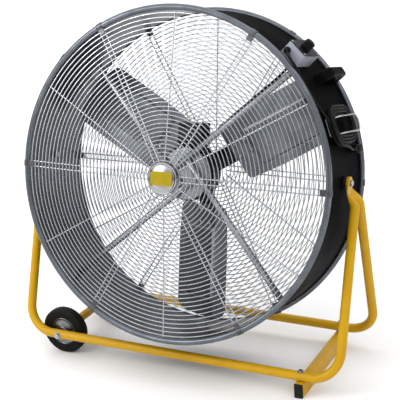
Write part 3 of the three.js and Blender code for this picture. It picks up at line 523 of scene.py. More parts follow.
wire_zinc = finish("wire_zinc", (0.56, 0.58, 0.61), (0.44, 0.46, 0.49), metallic=0.8,
                   rough=(0.2, 0.32), scale=30, grain=900, relief=0.00005)
for end, side in (("front", -1), ("rear", 1)):
    wires = []
    for number in range(RING_COUNT):
        radius = ring_radius(number)
        section = arc((radius, side * dome(radius)), WIRE_RADIUS, 0, 360, 6)[:-1]
        wires.append(skin(on_drum(lay(spin(section, 72 + 4 * number), "y")), along=True))
    for rib in range(12):
        for offset in ([0.0] if rib % 2 else [-RIB_PAIR_HALF, RIB_PAIR_HALF]):
            reach = np.linspace(RIB_START, np.sqrt(RIB_END**2 - offset**2), 24)
            under_rings = side * (dome(reach) - WIRE_RADIUS - RIB_RADIUS + 0.4)
            line = np.stack([0 * reach + offset, under_rings, reach], axis=-1)
            wire = sweep(line, round_section(RIB_RADIUS, 8), (0, side, 0))
            wires.append(skin(on_drum(seated(wire, 30 * rib))))
    make(f"{end}_wire_guard", "drum", wire_zinc, *wires, sharp=60, slot="grille_wire",
         replaces=(f"{end}_grille",))

# ---------------------------------------------------------------- clips
# Each pair of ribs ends under a clip, a short strip of dull plated steel that is bent
# round the rolled edge and holds the grille to it.

CLIP_WIDTH = 18.0
CLIP_THICK = 1.6


def strip_profile(line, thickness):
    """A line of points given an even thickness: out along one side and back along the other."""
    run = np.gradient(line, axis=0)
    run /= np.linalg.norm(run, axis=1, keepdims=True)
    side_step = np.stack([-run[:, 1], run[:, 0]], axis=-1) * thickness / 2
    return np.vstack([line - side_step, (line + side_step)[::-1]])


def inset(outline, step):
    """A closed outline moved inwards by a step, each corner along the mean of its edges' normals."""
    run = np.roll(outline, -1, axis=0) - np.roll(outline, 1, axis=0)
    run /= np.linalg.norm(run, axis=1, keepdims=True)
    inwards = np.stack([-run[:, 1], run[:, 0]], axis=-1)
    u, v = outline.T
    anticlockwise = np.sum(u * np.roll(v, -1) - np.roll(u, -1) * v) > 0
    return outline + inwards * (step if anticlockwise else -step)


def prism(outline, low, high, edge, steps=3):
    """A closed (u, v) outline with depth from low to high and its edges rounded over a radius.

    At an angle t over the edge the outline is inset by edge (1 - sin t), at depth edge (1 - cos t)."""
    turn = np.linspace(0, np.pi / 2, steps + 1)
    shrink = edge * (1 - np.sin(turn))
    depth = edge * (1 - np.cos(turn))
    levels = list(zip(shrink, low + depth)) + list(zip(shrink[::-1], high - depth[::-1]))
    return np.stack([np.column_stack([inset(outline, back), np.full(len(outline), at)])
                     for back, at in levels])


def rounded_rectangle(half_u, half_v, corner, steps=6):
    """A closed outline with its four corners as quarter circles, corner middle + r (cos, sin)."""
    turn = np.radians(np.linspace(0, 90, steps + 1))
    quarters = []
    for number, (su, sv) in enumerate(((1, 1), (-1, 1), (-1, -1), (1, -1))):
        swing = turn + number * np.pi / 2
        quarters.append(np.stack([su * (half_u - corner) + corner * np.cos(swing),
                                  sv * (half_v - corner) + corner * np.sin(swing)], axis=-1))
    return np.vstack(quarters)


clip_steel = finish("clip_steel", (0.13, 0.13, 0.14), (0.08, 0.08, 0.085), metallic=1.0,
                    rough=(0.24, 0.4), scale=60, grain=1000, relief=0.00005)
CLIP_REACH = BEAD_RADIUS + 0.45 + CLIP_THICK / 2
CLIP_LIP = GRILLE_Y + WIRE_RADIUS + 0.3 + CLIP_THICK / 2 - BEAD_Y
for end, side in (("front", -1), ("rear", 1)):
    wrap = arc((BEAD_RING, 0), CLIP_REACH, 180 - np.degrees(np.arcsin(CLIP_LIP / CLIP_REACH)), -45, 20)
    line = np.vstack([[OUTER_RING - 8, CLIP_LIP], wrap])[:, ::-1] * (side, 1) + (side * BEAD_Y, 0)
    outline = strip_profile(line, CLIP_THICK)
    strip = lay(prism(outline, -CLIP_WIDTH / 2, CLIP_WIDTH / 2, 0.3, 1), "x")
    for number in range(6):
        make(f"{end}_hook_{number + 1}", "drum", clip_steel, skin(on_drum(seated(strip, 60 * number))),
             slot="bright_steel", replaces=(f"{end}_clip_{number + 1}",))

# ---------------------------------------------------------------- grille cap
# A pressed silver cap with a polished rim closes the middle of the front grille and sits on its ribs.
# A plain yellow plate of thin metal is glued in the middle of it.

CAP_BACK = -(dome(RIB_START) - 0.225)
CAP_DEPTH = 14.0
cap_profile = [
    (47.0, 0.0), (47.0, -7.0), (46.4, -9.5), (45.2, -11.3), (43.6, -12.0), (42.0, -11.4), (40.8, -10.0),
    (39.6, -9.4), (37.0, -10.6), (31.0, -12.2), (22.0, -13.4), (12.0, -13.9), (4.0, -14.0)]
cap_paint = finish("cap_paint", (0.4, 0.4, 0.41), (0.3, 0.3, 0.31), metallic=1.0,
                   rough=(0.16, 0.28), scale=25, grain=800, relief=0.0001)
plate_yellow = finish("plate_yellow", (0.36, 0.265, 0.006), (0.32, 0.235, 0.005),
                      rough=(0.35, 0.45), scale=30, grain=900, relief=0.00005, coat=0.1,
                      specular=0.15)
cap_rings = lay(spin(np.array(cap_profile)[::-1] + (0, CAP_BACK), 96), "y")
make("front_cap", "drum", cap_paint, skin(on_drum(cap_rings)), slot="bright_steel",
     replaces=("grille_cap",))
plate_line = [(0, CAP_BACK - CAP_DEPTH - rise, 0) for rise in (0.3, 1.3, 1.7)]
plate_shape = sweep(plate_line, soft_box([34.6, 34.6, 34.2], [20.6, 20.6, 20.2], 64, 7.0), (0, 0, 1))
make("cap_name_plate", "drum", plate_yellow, skin(on_drum(plate_shape)), slot="yellow_plate",
     replaces=("cap_plate",))

# ---------------------------------------------------------------- motor and its support
# Four galvanised tubes lie past each other like a pinwheel and reach the drum's wall.
# The black motor is bolted to them through a round plate, with its terminal box on top.

SUPPORT_RADIUS = 9.5
SUPPORT_Y = -48.0
SUPPORT_ANGLE = 40.4
SUPPORT_OFFSET = 32.0
MOUNT_RADIUS = 78.0
MOUNT_FRONT = -38.2
MOUNT_THICK = 3.0
MOTOR_FRONT = -34.9
MOTOR_BACK = 52.1
FINS = 36
TERMINAL_Y = 10.0
TERMINAL_HALF_X = 42.0
TERMINAL_HALF_Y = 28.0


def ring_profile(bore, radius, low, high, edge):
    """A flat ring's or disc's section of (radius, depth), its outer corners cut at 45 degrees."""
    return [(bore, low), (radius - edge, low), (radius, low + edge), (radius, high - edge),
            (radius - edge, high), (bore, high)]


tube_zinc = finish("tube_zinc", (0.42, 0.44, 0.47), (0.3, 0.32, 0.35), metallic=0.9,
                   rough=(0.26, 0.42), scale=25, grain=350, relief=0.0002)
motor_black = finish("motor_black", (0.004, 0.004, 0.0045), (0.008, 0.008, 0.009),
                     rough=(0.36, 0.5), scale=20, grain=600, relief=0.0003, dusty=0.01,
                     specular=0.3)
corner = SUPPORT_OFFSET + SUPPORT_RADIUS
support_reach = np.sqrt((inner - 2.2) ** 2 - corner**2)
support_start = -SUPPORT_OFFSET + SUPPORT_RADIUS + 0.3
support_end = [(7.9, 2.5), (7.9, 0.0), (9.3, 0.0), (SUPPORT_RADIUS, 0.3)]  # the open tube's rim
support_profile = ([(radius, support_start + depth) for radius, depth in support_end]
                   + [(radius, support_reach - depth) for radius, depth in support_end[::-1]])
support_tube = lay(spin(support_profile, 32), "z", (-SUPPORT_OFFSET, SUPPORT_Y, 0))
for number in range(4):
    make(f"support_{number + 1}", "drum", tube_zinc,
         skin(on_drum(seated(support_tube, SUPPORT_ANGLE + 90 * number))), slot="galvanised",
         replaces=(f"support_tube_{number + 1}",))

mount_profile = ring_profile(0.5, MOUNT_RADIUS, MOUNT_FRONT, MOUNT_FRONT + MOUNT_THICK, 0.6)
make("motor_plate", "drum", tube_zinc, skin(on_drum(lay(spin(mount_profile, 64), "y"))),
     slot="galvanised", replaces=("motor_mount",))
motor_profile = np.array([
    (2.0, MOTOR_FRONT), (74.0, MOTOR_FRONT), (77.0, MOTOR_FRONT + 1.5), (83.0, MOTOR_FRONT + 8.5),
    (84.6, MOTOR_FRONT + 12), (84.6, MOTOR_FRONT + 14), (82.0, MOTOR_FRONT + 15), (82.0, MOTOR_BACK - 27),
    (84.6, MOTOR_BACK - 26), (84.6, MOTOR_BACK - 22), (82.0, MOTOR_BACK - 19.5), (72.0, MOTOR_BACK - 14),
    (58.0, MOTOR_BACK - 4.5), (52.0, MOTOR_BACK - 3), (36.0, MOTOR_BACK - 0.8), (24.0, MOTOR_BACK),
    (20.0, MOTOR_BACK), (19.0, MOTOR_BACK - 2), (12.0, MOTOR_BACK - 2.5), (11.0, MOTOR_BACK - 3),
    (10.4, MOTOR_BACK - 12)])
fin = prism(rounded_rectangle(1.2, 1.6, 0.5, 2), MOTOR_FRONT + 16, MOTOR_BACK - 28, 0.4, 1)
fin = lay(fin, "y", (0, 0, 83.2))
make("motor_housing", "drum", motor_black, skin(on_drum(lay(spin(motor_profile, 72), "y"))),
     *[skin(on_drum(seated(fin, 5 + 360 * number / FINS))) for number in range(FINS)],
     slot="black_paint", replaces=("motor_body",))

terminal_outline = rounded_rectangle(TERMINAL_HALF_X, TERMINAL_HALF_Y, 6)
terminal_body = lay(prism(terminal_outline, 78, 138, 2.0), "z", (0, TERMINAL_Y, 0))
terminal_lid = lay(prism(terminal_outline, 139, 150, 2.5), "z", (0, TERMINAL_Y, 0))
make("terminal_housing", "drum", motor_black, skin(on_drum(terminal_body)), skin(on_drum(terminal_lid)),
     slot="black_paint", replaces=("terminal_box",))

lead_line = smooth_line([
    polar(483, 47, -46), polar(466, 47, -46), polar(446, 47, -38), polar(400, 47.4, -32),
    polar(300, 49.6, -28), polar(210, 53.5, -18), (100, 0, 137), (72, 8, 123), (60, TERMINAL_Y, 118),
    (TERMINAL_HALF_X + 0.3, TERMINAL_Y, 118)], 8)
make("motor_cable", "drum", cord_rubber,
     skin(on_drum(sweep(lead_line, round_section(3.9, 12), (0, -1, 0)))), slot="cord_rubber",
     replaces=("motor_lead",))

# ---------------------------------------------------------------- impeller
# Three broad blades of galvanised sheet turn behind the motor. Each has a pressed panel, whose bevel
# is lighter zinc as a painted highlight, and a bent edge, and is held by four rivets to the black
# spider that is welded to the hub on the motor's shaft.

BLADE_TIP = 462.0
BLADE_ROOT = 108.0
BLADE_HALF = 103.0
ROOT_HALF = 95.0
BLADE_PITCH = 23.0
BLADE_CAMBER = 12.0
BLADE_SHEET = 1.6
BLADE_ANGLE = 30.5
ROOT_CORNER = 18.0
TIP_CORNER = 30.0
TIP_CROWN = 14.0  # how far the tip's middle stands out past its corners
PANEL_FROM = 176.0
PANEL_TO = 402.0
PANEL_BEVEL = 7.0
PANEL_MIDDLE = 12.0
PANEL_HALF = 64.0
FLAP_FROM = 51.0
FLAP_SLOPE = 0.25
PANEL_RISE = 7.0
RIVET_ACROSS = 20.0
RIVET_OUT = (124.0, 164.0)
HUB_RADIUS = 30.0
HUB_HALF = 25.0
SHAFT_RADIUS = 10.0
SPIDER_Y = 15.8

blade_zinc = finish("blade_zinc", (0.19, 0.205, 0.225), (0.135, 0.143, 0.156), metallic=0.8,
                    rough=(0.3, 0.46), scale=14, grain=220, relief=0.0003)


def smooth_step(value, low, high):
    """From 0 at low to 1 at high as 3 t^2 - 2 t^3."""
    t = np.clip((value - low) / (high - low), 0, 1)
    return t * t * (3 - 2 * t)


def pitched(points):
    """Blade points turned about the radius by the pitch p: (x cos p - y sin p, x sin p + y cos p).

    It brings the anticlockwise edge to the front."""
    turn = np.radians(BLADE_PITCH)
    x, y, z = np.moveaxis(points, -1, 0)
    return np.stack([x * np.cos(turn) - y * np.sin(turn), x * np.sin(turn) + y * np.cos(turn), z], axis=-1)


def blade_sheet():
    """The sheet's two faces side by side, and the squares of the panel's bevel, for a painted highlight.

    Its half width over its length has quarter circles taken off at root and tip. The sheet is
    y = camber (1 - (x / half)^2), less the pressed panel, whose rise is a product of smooth steps
    in both directions, plus the flap, a straight slope back from a line along one edge."""
    run = BLADE_TIP - BLADE_ROOT
    s = np.concatenate([np.linspace(0, 0.055, 9)[:-1], np.linspace(0.055, 0.915, 60)[:-1],
                        np.linspace(0.915, 1, 13)])[:, None]
    c = np.linspace(-1, 1, 97)[None, :]
    from_root, from_tip = s * run, (1 - s) * run
    wide = ROOT_HALF + (BLADE_HALF - ROOT_HALF) * smooth_step(from_root, -40, 150)
    for corner, away in ((ROOT_CORNER, from_root), (TIP_CORNER, from_tip)):
        wide = wide - (corner - np.sqrt(corner**2 - np.clip(corner - away, 0, corner) ** 2))
    x = c * wide
    z = BLADE_ROOT + s * (run - TIP_CROWN * (x / BLADE_HALF) ** 2)
    y = BLADE_CAMBER * (1 - (x / BLADE_HALF) ** 2)
    inside_x = 1 - smooth_step(np.abs(x - PANEL_MIDDLE), PANEL_HALF - PANEL_BEVEL, PANEL_HALF)
    inside_z = smooth_step(z, PANEL_FROM, PANEL_FROM + PANEL_BEVEL)
    inside_z = inside_z * (1 - smooth_step(z, PANEL_TO - PANEL_BEVEL, PANEL_TO))
    flap = FLAP_SLOPE * np.clip(-x - FLAP_FROM, 0, None)
    y = y - PANEL_RISE * inside_x * inside_z + flap
    front, back = (np.stack(np.broadcast_arrays(x, y + step, z), axis=-1)
                   for step in (-BLADE_SHEET / 2, BLADE_SHEET / 2))
    pressed = inside_x * inside_z
    highlight_band = (pressed > 0.03) & (pressed < 0.97)
    return np.concatenate([front, back[:, ::-1]], axis=1), np.concatenate([highlight_band, highlight_band[:, ::-1]], axis=1)


# Painted highlight: the bevel's zinc is a lighter copy of the blade zinc, standing in for light on it.
painted_highlight_zinc = finish("painted_highlight_zinc", (0.4, 0.42, 0.45), (0.33, 0.35, 0.38), metallic=0.6,
                    rough=(0.3, 0.4), scale=14, grain=220, relief=0.0002)
sheet, highlight_squares = blade_sheet()
rivet_head = lay(spin([(6.5, -1.4), (6.5, 0.2), (5.2, 1.9), (2.6, 3.0), (0.4, 3.3)], 16), "y") * (1, -1, 1)
rivet_y = BLADE_CAMBER * (1 - (RIVET_ACROSS / BLADE_HALF) ** 2) - 2.0
rivets = [rivet_head + (x, rivet_y, z) for x in (-RIVET_ACROSS, RIVET_ACROSS) for z in RIVET_OUT]
for number in range(3):
    angle = BLADE_ANGLE + 120 * number
    blade = make(f"blade_{number + 1}", "impeller", [blade_zinc, painted_highlight_zinc],
                 skin(on_drum(seated(pitched(sheet), angle, FAN_Y))),
                 slot="galvanised", replaces=(f"fan_blade_{number + 1}",))
    # The bevel squares take the lighter zinc, a painted highlight.
    paint = np.append(highlight_squares[:-1].ravel(), [False, False])
    blade.data.polygons.foreach_set("material_index", paint.astype(int))
    make(f"blade_rivets_{number + 1}", "impeller", bright_zinc,
         *[skin(on_drum(seated(pitched(rivet), angle, FAN_Y))) for rivet in rivets], slot="bright_steel")

hub_profile = ring_profile(SHAFT_RADIUS + 0.4, HUB_RADIUS, -HUB_HALF, HUB_HALF, 1.5)
arm = prism(rounded_rectangle(31, 90, 12), -2.5, 2.5, 0.8)[..., [0, 2, 1]] + (0, SPIDER_Y, 105)
hub_skins = [skin(on_drum(lay(spin(hub_profile, 48), "y", (0, FAN_Y, 0))), along=True)]
for number in range(3):
    hub_skins.append(skin(on_drum(seated(pitched(arm), BLADE_ANGLE + 120 * number, FAN_Y))))
make("hub_and_spider", "impeller", motor_black, *hub_skins, slot="black_paint", replaces=("fan_hub",))
shaft_end = FAN_Y + HUB_HALF + 12
shaft_profile = [(SHAFT_RADIUS - 1.5, 38.4), (SHAFT_RADIUS, 39.9), (SHAFT_RADIUS, shaft_end - 1.5),
                 (SHAFT_RADIUS - 1.5, shaft_end)]
make("shaft", "impeller", bright_zinc, skin(on_drum(lay(spin(shaft_profile, 32), "y"))),
     slot="bright_steel", replaces=("motor_shaft",))

# ---------------------------------------------------------------- controls
# A light grey moulded box with a glossy dark cover, held by four screws, is fixed to the drum's side.
# One fluted black knob turns on its cover, and a nylon cable gland leaves its front and bends down.

BOX_HALF_X = 30.5
BOX_HALF_Y = 59.0
BOX_BASE = SHELL_RADIUS + 0.3
BOX_TOP = BOX_BASE + 42.7
COVER_TOP = BOX_TOP + 2.3
COVER_OVERHANG = 1.5
SCREW_HALF_X = 25.5
SCREW_HALF_Y = 53.5
KNOB_BASE = COVER_TOP + 0.3
FLUTES = 12
KNOB_STEPS = 144
GLAND_Z = 501.5

box_grey = finish("box_grey", (0.38, 0.4, 0.46), (0.3, 0.32, 0.37), rough=(0.32, 0.42), scale=15,
                  grain=1100, relief=0.0001)
cover_black = finish("cover_black", (0.003, 0.003, 0.006), (0.006, 0.006, 0.009),
                     rough=(0.14, 0.22), scale=15, grain=900, relief=0.00005, specular=0.12)
box_shape = prism(rounded_rectangle(BOX_HALF_X, BOX_HALF_Y, 5), BOX_BASE, BOX_TOP, 1.2)
make("switch_box", "drum", box_grey, skin(on_drum(seated(box_shape, BOX_ANGLE, BOX_Y))), slot="grey_box",
     replaces=("control_box",))
cover_outline = rounded_rectangle(BOX_HALF_X + COVER_OVERHANG, BOX_HALF_Y + COVER_OVERHANG, 6)
cover_shape = prism(cover_outline, BOX_TOP + 0.3, COVER_TOP, 0.8)
make("switch_box_cover", "drum", cover_black, skin(on_drum(seated(cover_shape, BOX_ANGLE, BOX_Y))),
     slot="black_paint", replaces=("control_cover",))
screw_head = lay(spin([(4.0, -0.5), (4.0, 0.6), (3.2, 1.5), (0.4, 1.9)], 20), "z", (0, 0, COVER_TOP))
make("switch_box_screws", "drum", bright_zinc,
     *[skin(on_drum(seated(screw_head + (x, y, 0), BOX_ANGLE, BOX_Y)))
       for x in (-SCREW_HALF_X, SCREW_HALF_X) for y in (-SCREW_HALF_Y, SCREW_HALF_Y)], slot="bright_steel")


def fluted(turn, radius, depth):
    """Radius of a knob's grip with hollows between its ribs: r - depth |cos(flutes a / 2)|^3."""
    return radius - depth * np.abs(np.cos(FLUTES * turn / 2)) ** 3


knob_turn = 2 * np.pi * np.arange(KNOB_STEPS) / KNOB_STEPS
knob_levels = [(15.2, 0.0, 0.2), (16.0, 0.8, 0.2), (16.0, 3.0, 0.2), (15.4, 4.5, 0.8), (15.2, 6.0, 1.5),
               (14.8, 19.0, 1.5), (14.3, 21.5, 1.2), (13.0, 23.2, 0.6), (11.4, 23.9, 0.1), (10.6, 23.4, 0.0),
               (6.0, 23.2, 0.0), (0.5, 23.2, 0.0)]
knob_rings = np.stack([np.stack([fluted(knob_turn, radius, depth) * np.cos(knob_turn),
                                 fluted(knob_turn, radius, depth) * np.sin(knob_turn),
                                 np.full(KNOB_STEPS, KNOB_BASE + at)], axis=-1)
                       for radius, at, depth in knob_levels])
knob_black = finish("knob_black", (0.0025, 0.0025, 0.003), (0.005, 0.005, 0.0055),
                    rough=(0.32, 0.45), scale=60, grain=1200, relief=0.0001, dusty=0, specular=0.08)
make("speed_selector", "knob", knob_black, skin(on_drum(seated(knob_rings, BOX_ANGLE, BOX_Y))),
     slot="black_plastic", replaces=("speed_knob",))


def bent_line(corners, radii, steps):
    """A chain of points whose inner corners are arcs of the given radii.

    At a corner of half angle h the arc's centre lies at r / sin h along the middle of its two sides."""
    corners = np.asarray(corners, float)
    line = [corners[:1]]
    for before, corner, after, radius in zip(corners, corners[1:], corners[2:], radii):
        back = (before - corner) / np.linalg.norm(before - corner)
        ahead_way = (after - corner) / np.linalg.norm(after - corner)
        half = np.arccos(np.clip(back @ ahead_way, -1, 1)) / 2
        middle = (back + ahead_way) / np.linalg.norm(back + ahead_way)
        centre = corner + middle * radius / np.sin(half)
        swing = np.linspace(-(np.pi / 2 - half), np.pi / 2 - half, steps + 1)[:, None]
        sideways = (ahead_way - back) / np.linalg.norm(ahead_way - back)
        line.append(centre - middle * radius * np.cos(swing) + sideways * radius * np.sin(swing))
    return np.vstack(line + [corners[-1:]])


gland_line = bent_line([(-17, -BOX_HALF_Y - 0.4, GLAND_Z), (-17, -70.3, GLAND_Z), GLAND_END], [7], 8)
gland_run = np.concatenate([[0], np.cumsum(np.linalg.norm(np.diff(gland_line, axis=0), axis=1))])
even = np.linspace(0, gland_run[-1], 45)
gland_path = np.stack([np.interp(even, gland_run, gland_line[:, i]) for i in range(3)], axis=-1)
taper = np.interp(even, [0, 0.6, 5.2, 5.8, 9, gland_run[-1]], [9.4, 10.0, 10.0, 7.5, 7.4, 5.4])
taper -= 0.5 * (np.sin(even * 2 * np.pi / 3.2) < -0.2) * (even > 8)  # grooves round the bending part
gland_shape = sweep(gland_path, round_section(taper, 24), (0, 0, 1))
make("cable_entry", "drum", moulded_black, skin(on_drum(seated(gland_shape, BOX_ANGLE, BOX_Y))),
     slot="black_plastic", replaces=("cable_gland",))

# ---------------------------------------------------------------- tilt handles
# Two moulded black D handles tilt the drum, one on each of its sides.
# Each is one piece with round edges, and its two feet are screwed to the drum's wall.

HANDLE_ANGLE = 37.6
HANDLE_RIGHT_Y = 62.0
HANDLE_LEFT_Y = -18.0
HANDLE_FOOT = 72.0
HANDLE_SHOULDER = 68.0
HANDLE_TOP = 56.0
HANDLE_RISE = 52.0
HANDLE_HALF_WIDTH = 15.0
GRIP_THICK = 16.0

handle_black = finish("handle_black", (0.002, 0.002, 0.0023), (0.004, 0.004, 0.0042),
                      rough=(0.36, 0.5), scale=30, grain=900, relief=0.0002, dusty=0, specular=0.03)
under = HANDLE_RISE - GRIP_THICK
half_outside = np.array([(HANDLE_TOP, HANDLE_RISE, 0), (HANDLE_SHOULDER, HANDLE_RISE / 2, 0),
                         (HANDLE_FOOT, 0, 0)])
outside = bent_line(np.vstack([half_outside[::-1] * (-1, 1, 1), half_outside]), [30, 18, 18, 30], 10)
within = bent_line([(45, 0, 0), (42, under, 0), (-42, under, 0), (-45, 0, 0)], [12, 12], 10)
handle_outline = np.vstack([outside, within])[:, :2]
quarter = np.linspace(0, 1, 5)[:-1, None]
handle_outline = np.vstack([one + (other - one) * quarter
                            for one, other in zip(handle_outline, np.roll(handle_outline, -1, axis=0))])
handle_shape = lay(prism(handle_outline, -HANDLE_HALF_WIDTH, HANDLE_HALF_WIDTH, 8.0, 8), "x",
                   (0, 0, SHELL_RADIUS + 0.3))
for hand, angle, y in (("right", HANDLE_ANGLE, HANDLE_RIGHT_Y),
                       ("left", 180 - HANDLE_ANGLE, HANDLE_LEFT_Y)):
    make(f"grip_{hand}", "drum", handle_black, skin(on_drum(seated(handle_shape, angle, y))),
         slot="black_plastic", replaces=(f"tilt_handle_{hand}",))

# ---------------------------------------------------------------- cable hanger
# The hanger holds the coil on the drum's side. It is one length of bright plated wire,
# welded flat to the drum at its front, bent up to stand off it, and butted in its front bar.

HANGER_WIRE = 2.5
HANGER_HALF = 24.0
HANGER_FRONT = -89.0
HANGER_LOW = np.hypot(SHELL_RADIUS + 0.3 + HANGER_WIRE, HANGER_HALF)
HANGER_HIGH = SHELL_RADIUS + 28.0
leg_stations = [(HANGER_FRONT, HANGER_LOW), (-46, HANGER_LOW), (-20, HANGER_HIGH), (111, HANGER_HIGH)]
hanger_corners = np.vstack(
    [on_side(HANGER_FRONT, 0.8, SHELL_RADIUS + 0.3 + HANGER_WIRE)]
    + [on_side(along, HANGER_HALF, radius) for along, radius in leg_stations]
    + [on_side(along, -HANGER_HALF, radius) for along, radius in leg_stations[::-1]]
    + [on_side(HANGER_FRONT, -0.8, SHELL_RADIUS + 0.3 + HANGER_WIRE)])
hanger_line = bent_line(hanger_corners, [8, 12, 12, 20, 20, 12, 12, 8], 8)
make("hanger_wire", "drum", bright_zinc,
     skin(on_drum(sweep(hanger_line, round_section(HANGER_WIRE, 12), hanger_line * (1, 0, 1)))),
     slot="bright_steel", replaces=("cable_hanger",))

# ---------------------------------------------------------------- pivots
# The drum hangs on a plated bolt at each side, which goes through both flattened tube ends,
# a black spacer and the drum's wall to a nut inside.

PIVOT_Y = -5.0
PIVOT_Z = 15.0
HEAD_SEAT = 501.3
NUT_TOP = 479.0
NUT_HEIGHT = 8.0
PIVOT_BOLT = 5.0
SPACER_RADIUS = 18.0
SPACER_THICK = 8.8


def hexagon(across, steps=4):
    """A closed six-sided outline of a width across its corners, with points along each side."""
    turn = np.pi / 3 * np.arange(6)
    corners = across / 2 * np.stack([np.cos(turn), np.sin(turn)], axis=-1)
    t = np.arange(steps)[None, :, None] / steps
    return (corners[:, None] * (1 - t) + np.roll(corners, -1, axis=0)[:, None] * t).reshape(-1, 2)


def bolt(flange, thick, across, top, shank, depth, edge=0.6, sides=(40, 24), tip=(0.4, 0.5)):
    """A bolt's flange, six-sided head and shank, with the depth 0 where the flange is seated."""
    return [spin([(flange - 0.4, 0.0), (flange, 0.2), (flange, thick - 0.2), (flange - 0.4, thick)],
                 sides[0]),
            prism(hexagon(across), thick, top, edge, 2),
            spin([(shank - tip[0], -depth), (shank, tip[1] - depth), (shank, 0.0)], sides[1])]


spacer_profile = ring_profile(PIVOT_BOLT + 0.3, SPACER_RADIUS, 0.0, SPACER_THICK, 0.6)
nut = prism(hexagon(18.0), NUT_TOP - NUT_HEIGHT - HEAD_SEAT, NUT_TOP - HEAD_SEAT, 0.6, 2)
pivot_bolt = bolt(10.0, 1.6, 18.4, 6.5, PIVOT_BOLT, HEAD_SEAT + 12 - NUT_TOP)
for hand, side in (("left", -1), ("right", 1)):
    make(f"pivot_fastener_{hand}", "drum", bright_zinc,
         *[skin(on_drum((lay(shape, "x") + (HEAD_SEAT, PIVOT_Y, PIVOT_Z)) * (side, 1, 1)))
           for shape in (*pivot_bolt, nut)], slot="bright_steel", replaces=(f"pivot_bolt_{hand}",))
    spacer = lay(spin(spacer_profile, 40), "x") + (SHELL_RADIUS + 0.3, PIVOT_Y, PIVOT_Z)
    make(f"pivot_washer_{hand}", "drum", motor_black, skin(on_drum(spacer * (side, 1, 1)), along=True),
         slot="black_paint", replaces=(f"pivot_spacer_{hand}",))

# ---------------------------------------------------------------- tube frames
# The stand's two frames are each one steel tube bent to a U and powder-coated yellow.
# Their ends are pressed flat, drilled, and laid on each other on the pivot bolts.

TUBE_RADIUS = 14.0
RAIL_HALF_SPACING = 175.0
UPRIGHT_X = 520.0
FRAME_BEND = 85.0
TONGUE_HALF_WIDTH = 19.0
TONGUE_HALF_THICK = 2.0
FLAT_START = 24.0
FLATTEN = 45.0
FRONT_TONGUE_X = 499.0
REAR_TONGUE_X = 494.4
frame_lean = np.arctan2(RAIL_HALF_SPACING, PIVOT_RISE)
frame_height = np.hypot(RAIL_HALF_SPACING, PIVOT_RISE)

powder_yellow = finish("powder_yellow", (0.55, 0.305, 0.001), (0.5, 0.27, 0.001), rough=(0.3, 0.42),
                       scale=14, dusty=0.015, grain=650, relief=0.00025, coat=0.05, specular=0.2)
tube_top = frame_height - FLAT_START - FLATTEN
bend = bent_line([[-UPRIGHT_X, 0, tube_top], [-UPRIGHT_X, 0, 0], [UPRIGHT_X, 0, 0],
                  [UPRIGHT_X, 0, tube_top]], [FRAME_BEND, FRAME_BEND], 20)


def frame_tube(tongue_x):
    """A frame in its own upright plane, from one tongue round the bends to the other.

    Each section is the superellipse |u / thick|^power + |v / wide|^power = 1. Where the tube flattens,
    its place, half sizes and power go from the tube's to the tongue's as 3 t^2 - 2 t^3."""
    rise = np.linspace(0, 1, 10)[1:]
    ease = rise * rise * (3 - 2 * rise)
    flat_z = np.array([6.0, FLAT_START * 0.8, *(FLAT_START + np.array([4, 9, 13, 16, 18]))])
    flat_w = np.array([TONGUE_HALF_WIDTH, TONGUE_HALF_WIDTH, 18.6, 16.8, 13.7, 9.5, 4.5])
    flat = np.ones(len(flat_z))

    def eased(full, flattened):
        return np.concatenate([full + (flattened - full) * ease, flattened * flat])

    end_x = eased(UPRIGHT_X, tongue_x)
    end_z = np.concatenate([tube_top + FLATTEN * rise, tube_top + FLATTEN + flat_z])
    wide = np.concatenate([TUBE_RADIUS + (TONGUE_HALF_WIDTH - TUBE_RADIUS) * ease, flat_w])
    right_end = np.stack([end_x, 0 * end_x, end_z], axis=-1)
    line = np.vstack([(right_end * (-1, 1, 1))[::-1], bend, right_end])
    wide, thick, power = (np.concatenate([one[::-1], np.full(len(bend), full), one])[:, None]
                          for one, full in ((wide, TUBE_RADIUS),
                                            (eased(TUBE_RADIUS, TONGUE_HALF_THICK), TUBE_RADIUS),
                                            (eased(2.0, 5.0), 2.0)))
    turn = 2 * np.pi * np.arange(32) / 32
    c, s = np.cos(turn), np.sin(turn)
    across = np.sign(c) * np.abs(c) ** (2 / power) * thick
    outward = np.sign(s) * np.abs(s) ** (2 / power) * wide
    return sweep(line, np.stack([across, outward], axis=-1), (0, 1, 0))


for end, side, tongue_x in (("front", -1, FRONT_TONGUE_X), ("rear", 1, REAR_TONGUE_X)):
    lean = side * frame_lean
    x, y, z = np.moveaxis(frame_tube(tongue_x), -1, 0)
    leaned = np.stack([x, y * np.cos(lean) - z * np.sin(lean) + side * RAIL_HALF_SPACING,
                       y * np.sin(lean) + z * np.cos(lean)], axis=-1)
    make(f"{end}_tube_frame", "stand", powder_yellow, skin(on_stand(leaned)), sharp=50,
         slot="yellow_paint", replaces=(f"{end}_frame",))

# ---------------------------------------------------------------- foot bar
# The stand's right end rests on a rectangular steel tube, powder-coated yellow like the frames.
# It is bolted to both rails from above, with a black plastic plug cap pressed into each end.

AXLE_X = 407.0
FOOT_BAR_X = 406.85
FOOT_HALF_HEIGHT = 22.35
FOOT_HALF_WIDTH = 13.5
FOOT_HALF_LENGTH = 195.0

cap_black = finish("cap_black", (0.005, 0.005, 0.0055), (0.01, 0.01, 0.0105), rough=(0.42, 0.55),
                   scale=40, grain=900, relief=0.0002, dusty=0.03, specular=0.15)


def level(points, middle=(0.0, 0.0, 0.0)):
    """Points given in millimetres from a place in metres, with the scene's own axes."""
    return np.asarray(middle) + MM * np.asarray(points, float)


